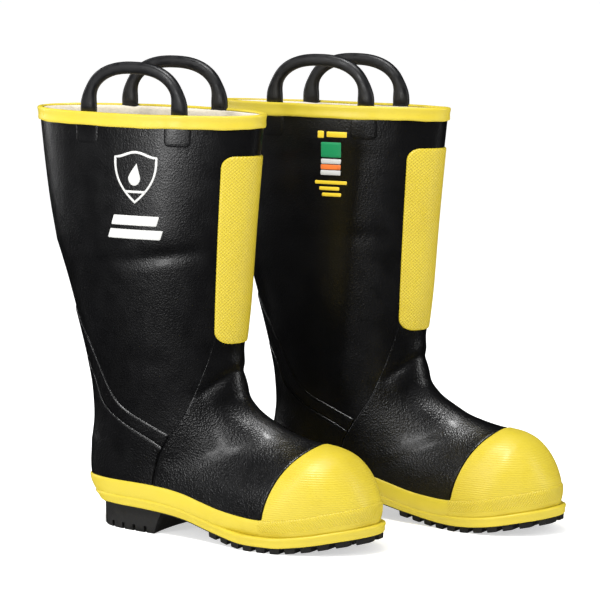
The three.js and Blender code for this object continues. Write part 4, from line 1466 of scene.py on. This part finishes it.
def add_floor():
    mesh = bpy.data.meshes.new("floor")
    steps = np.linspace(-FLOOR_HALF, FLOOR_HALF, FLOOR_ROWS)
    points = [(x, y, 0) for y in steps for x in steps]
    mesh.from_pydata(points, [], strip_faces(FLOOR_ROWS, FLOOR_ROWS, round_columns=False))
    floor = bpy.data.objects.new("floor", mesh)
    bpy.context.scene.collection.objects.link(floor)
    paper = Finish("pale_paper", (0.86, 0.86, 0.86), 0.85, Emission_Strength=0.55)
    paper.shader.inputs["Emission Color"].default_value = (1, 1, 1, 1)
    paper.bump(paper.noise(300, 3), 0.05, 0.0002)
    mesh.materials.append(paper.material)
    floor.visible_glossy = False


def add_light(name, right, towards, up, wide, tall, watts):
    light = bpy.data.lights.new(name, "AREA")
    light.shape = "RECTANGLE"
    light.size, light.size_y = wide, tall
    light.energy = watts
    holder = bpy.data.objects.new(name, light)
    forward = Vector((TOWARDS_CAMERA.x, TOWARDS_CAMERA.y, 0)).normalized()
    holder.location = TO_THE_RIGHT * right + forward * towards + Vector((0, 0, up))
    holder.rotation_euler = (LIT_POINT - holder.location).to_track_quat("-Z", "Y").to_euler()
    bpy.context.scene.collection.objects.link(holder)


def add_world():
    world = bpy.data.worlds.new("studio")
    world.use_nodes = True
    back = world.node_tree.nodes["Background"]
    back.inputs["Color"].default_value = (1, 1, 1, 1)
    back.inputs["Strength"].default_value = 0.6
    bpy.context.scene.world = world
    world.cycles_visibility.glossy = False


def add_camera():
    data = bpy.data.cameras.new("camera")
    data.sensor_width = 36
    data.lens = LENS
    data.shift_x, data.shift_y = SHIFT
    data.clip_start, data.clip_end = 0.1, 60
    camera = bpy.data.objects.new("camera", data)
    camera.location = TARGET + TOWARDS_CAMERA * DISTANCE
    camera.rotation_mode = "QUATERNION"
    camera.rotation_quaternion = (-TOWARDS_CAMERA).to_track_quat("-Z", "Y")
    bpy.context.scene.collection.objects.link(camera)
    bpy.context.scene.camera = camera


class BOOTS_PT_panel(bpy.types.Panel):
    """Lists the sizes, the colours and the building steps"""

    bl_idname = "BOOTS_PT_panel"
    bl_label = "Rubber fire boots"
    bl_space_type = "VIEW_3D"
    bl_region_type = "UI"
    bl_category = "Boots"

    def draw(self, context):
        for group in (context.scene.boot_sizes, context.scene.boot_colours):
            box = self.layout.box()
            for name in group.__annotations__:
                box.prop(group, name)
        for operator in OPERATORS:
            self.layout.operator(operator.bl_idname)


OPERATORS = (BOOTS_OT_leg, BOOTS_OT_overlays, BOOTS_OT_guards, BOOTS_OT_foxing, BOOTS_OT_soles,
             BOOTS_OT_rims, BOOTS_OT_handles, BOOTS_OT_prints, BOOTS_OT_insides, BOOTS_OT_stage)
CLASSES = (BootSizes, BootColours, *OPERATORS, BOOTS_PT_panel)


def register():
    for cls in CLASSES:
        bpy.utils.register_class(cls)
    bpy.types.Scene.boot_sizes = bpy.props.PointerProperty(type=BootSizes)
    bpy.types.Scene.boot_colours = bpy.props.PointerProperty(type=BootColours)


def unregister():
    del bpy.types.Scene.boot_colours
    del bpy.types.Scene.boot_sizes
    for cls in reversed(CLASSES):
        bpy.utils.unregister_class(cls)


def main():
    register()
    for operator in OPERATORS:
        group, name = operator.bl_idname.split(".")
        getattr(getattr(bpy.ops, group), name)()


if __name__ == "__main__":
    main()
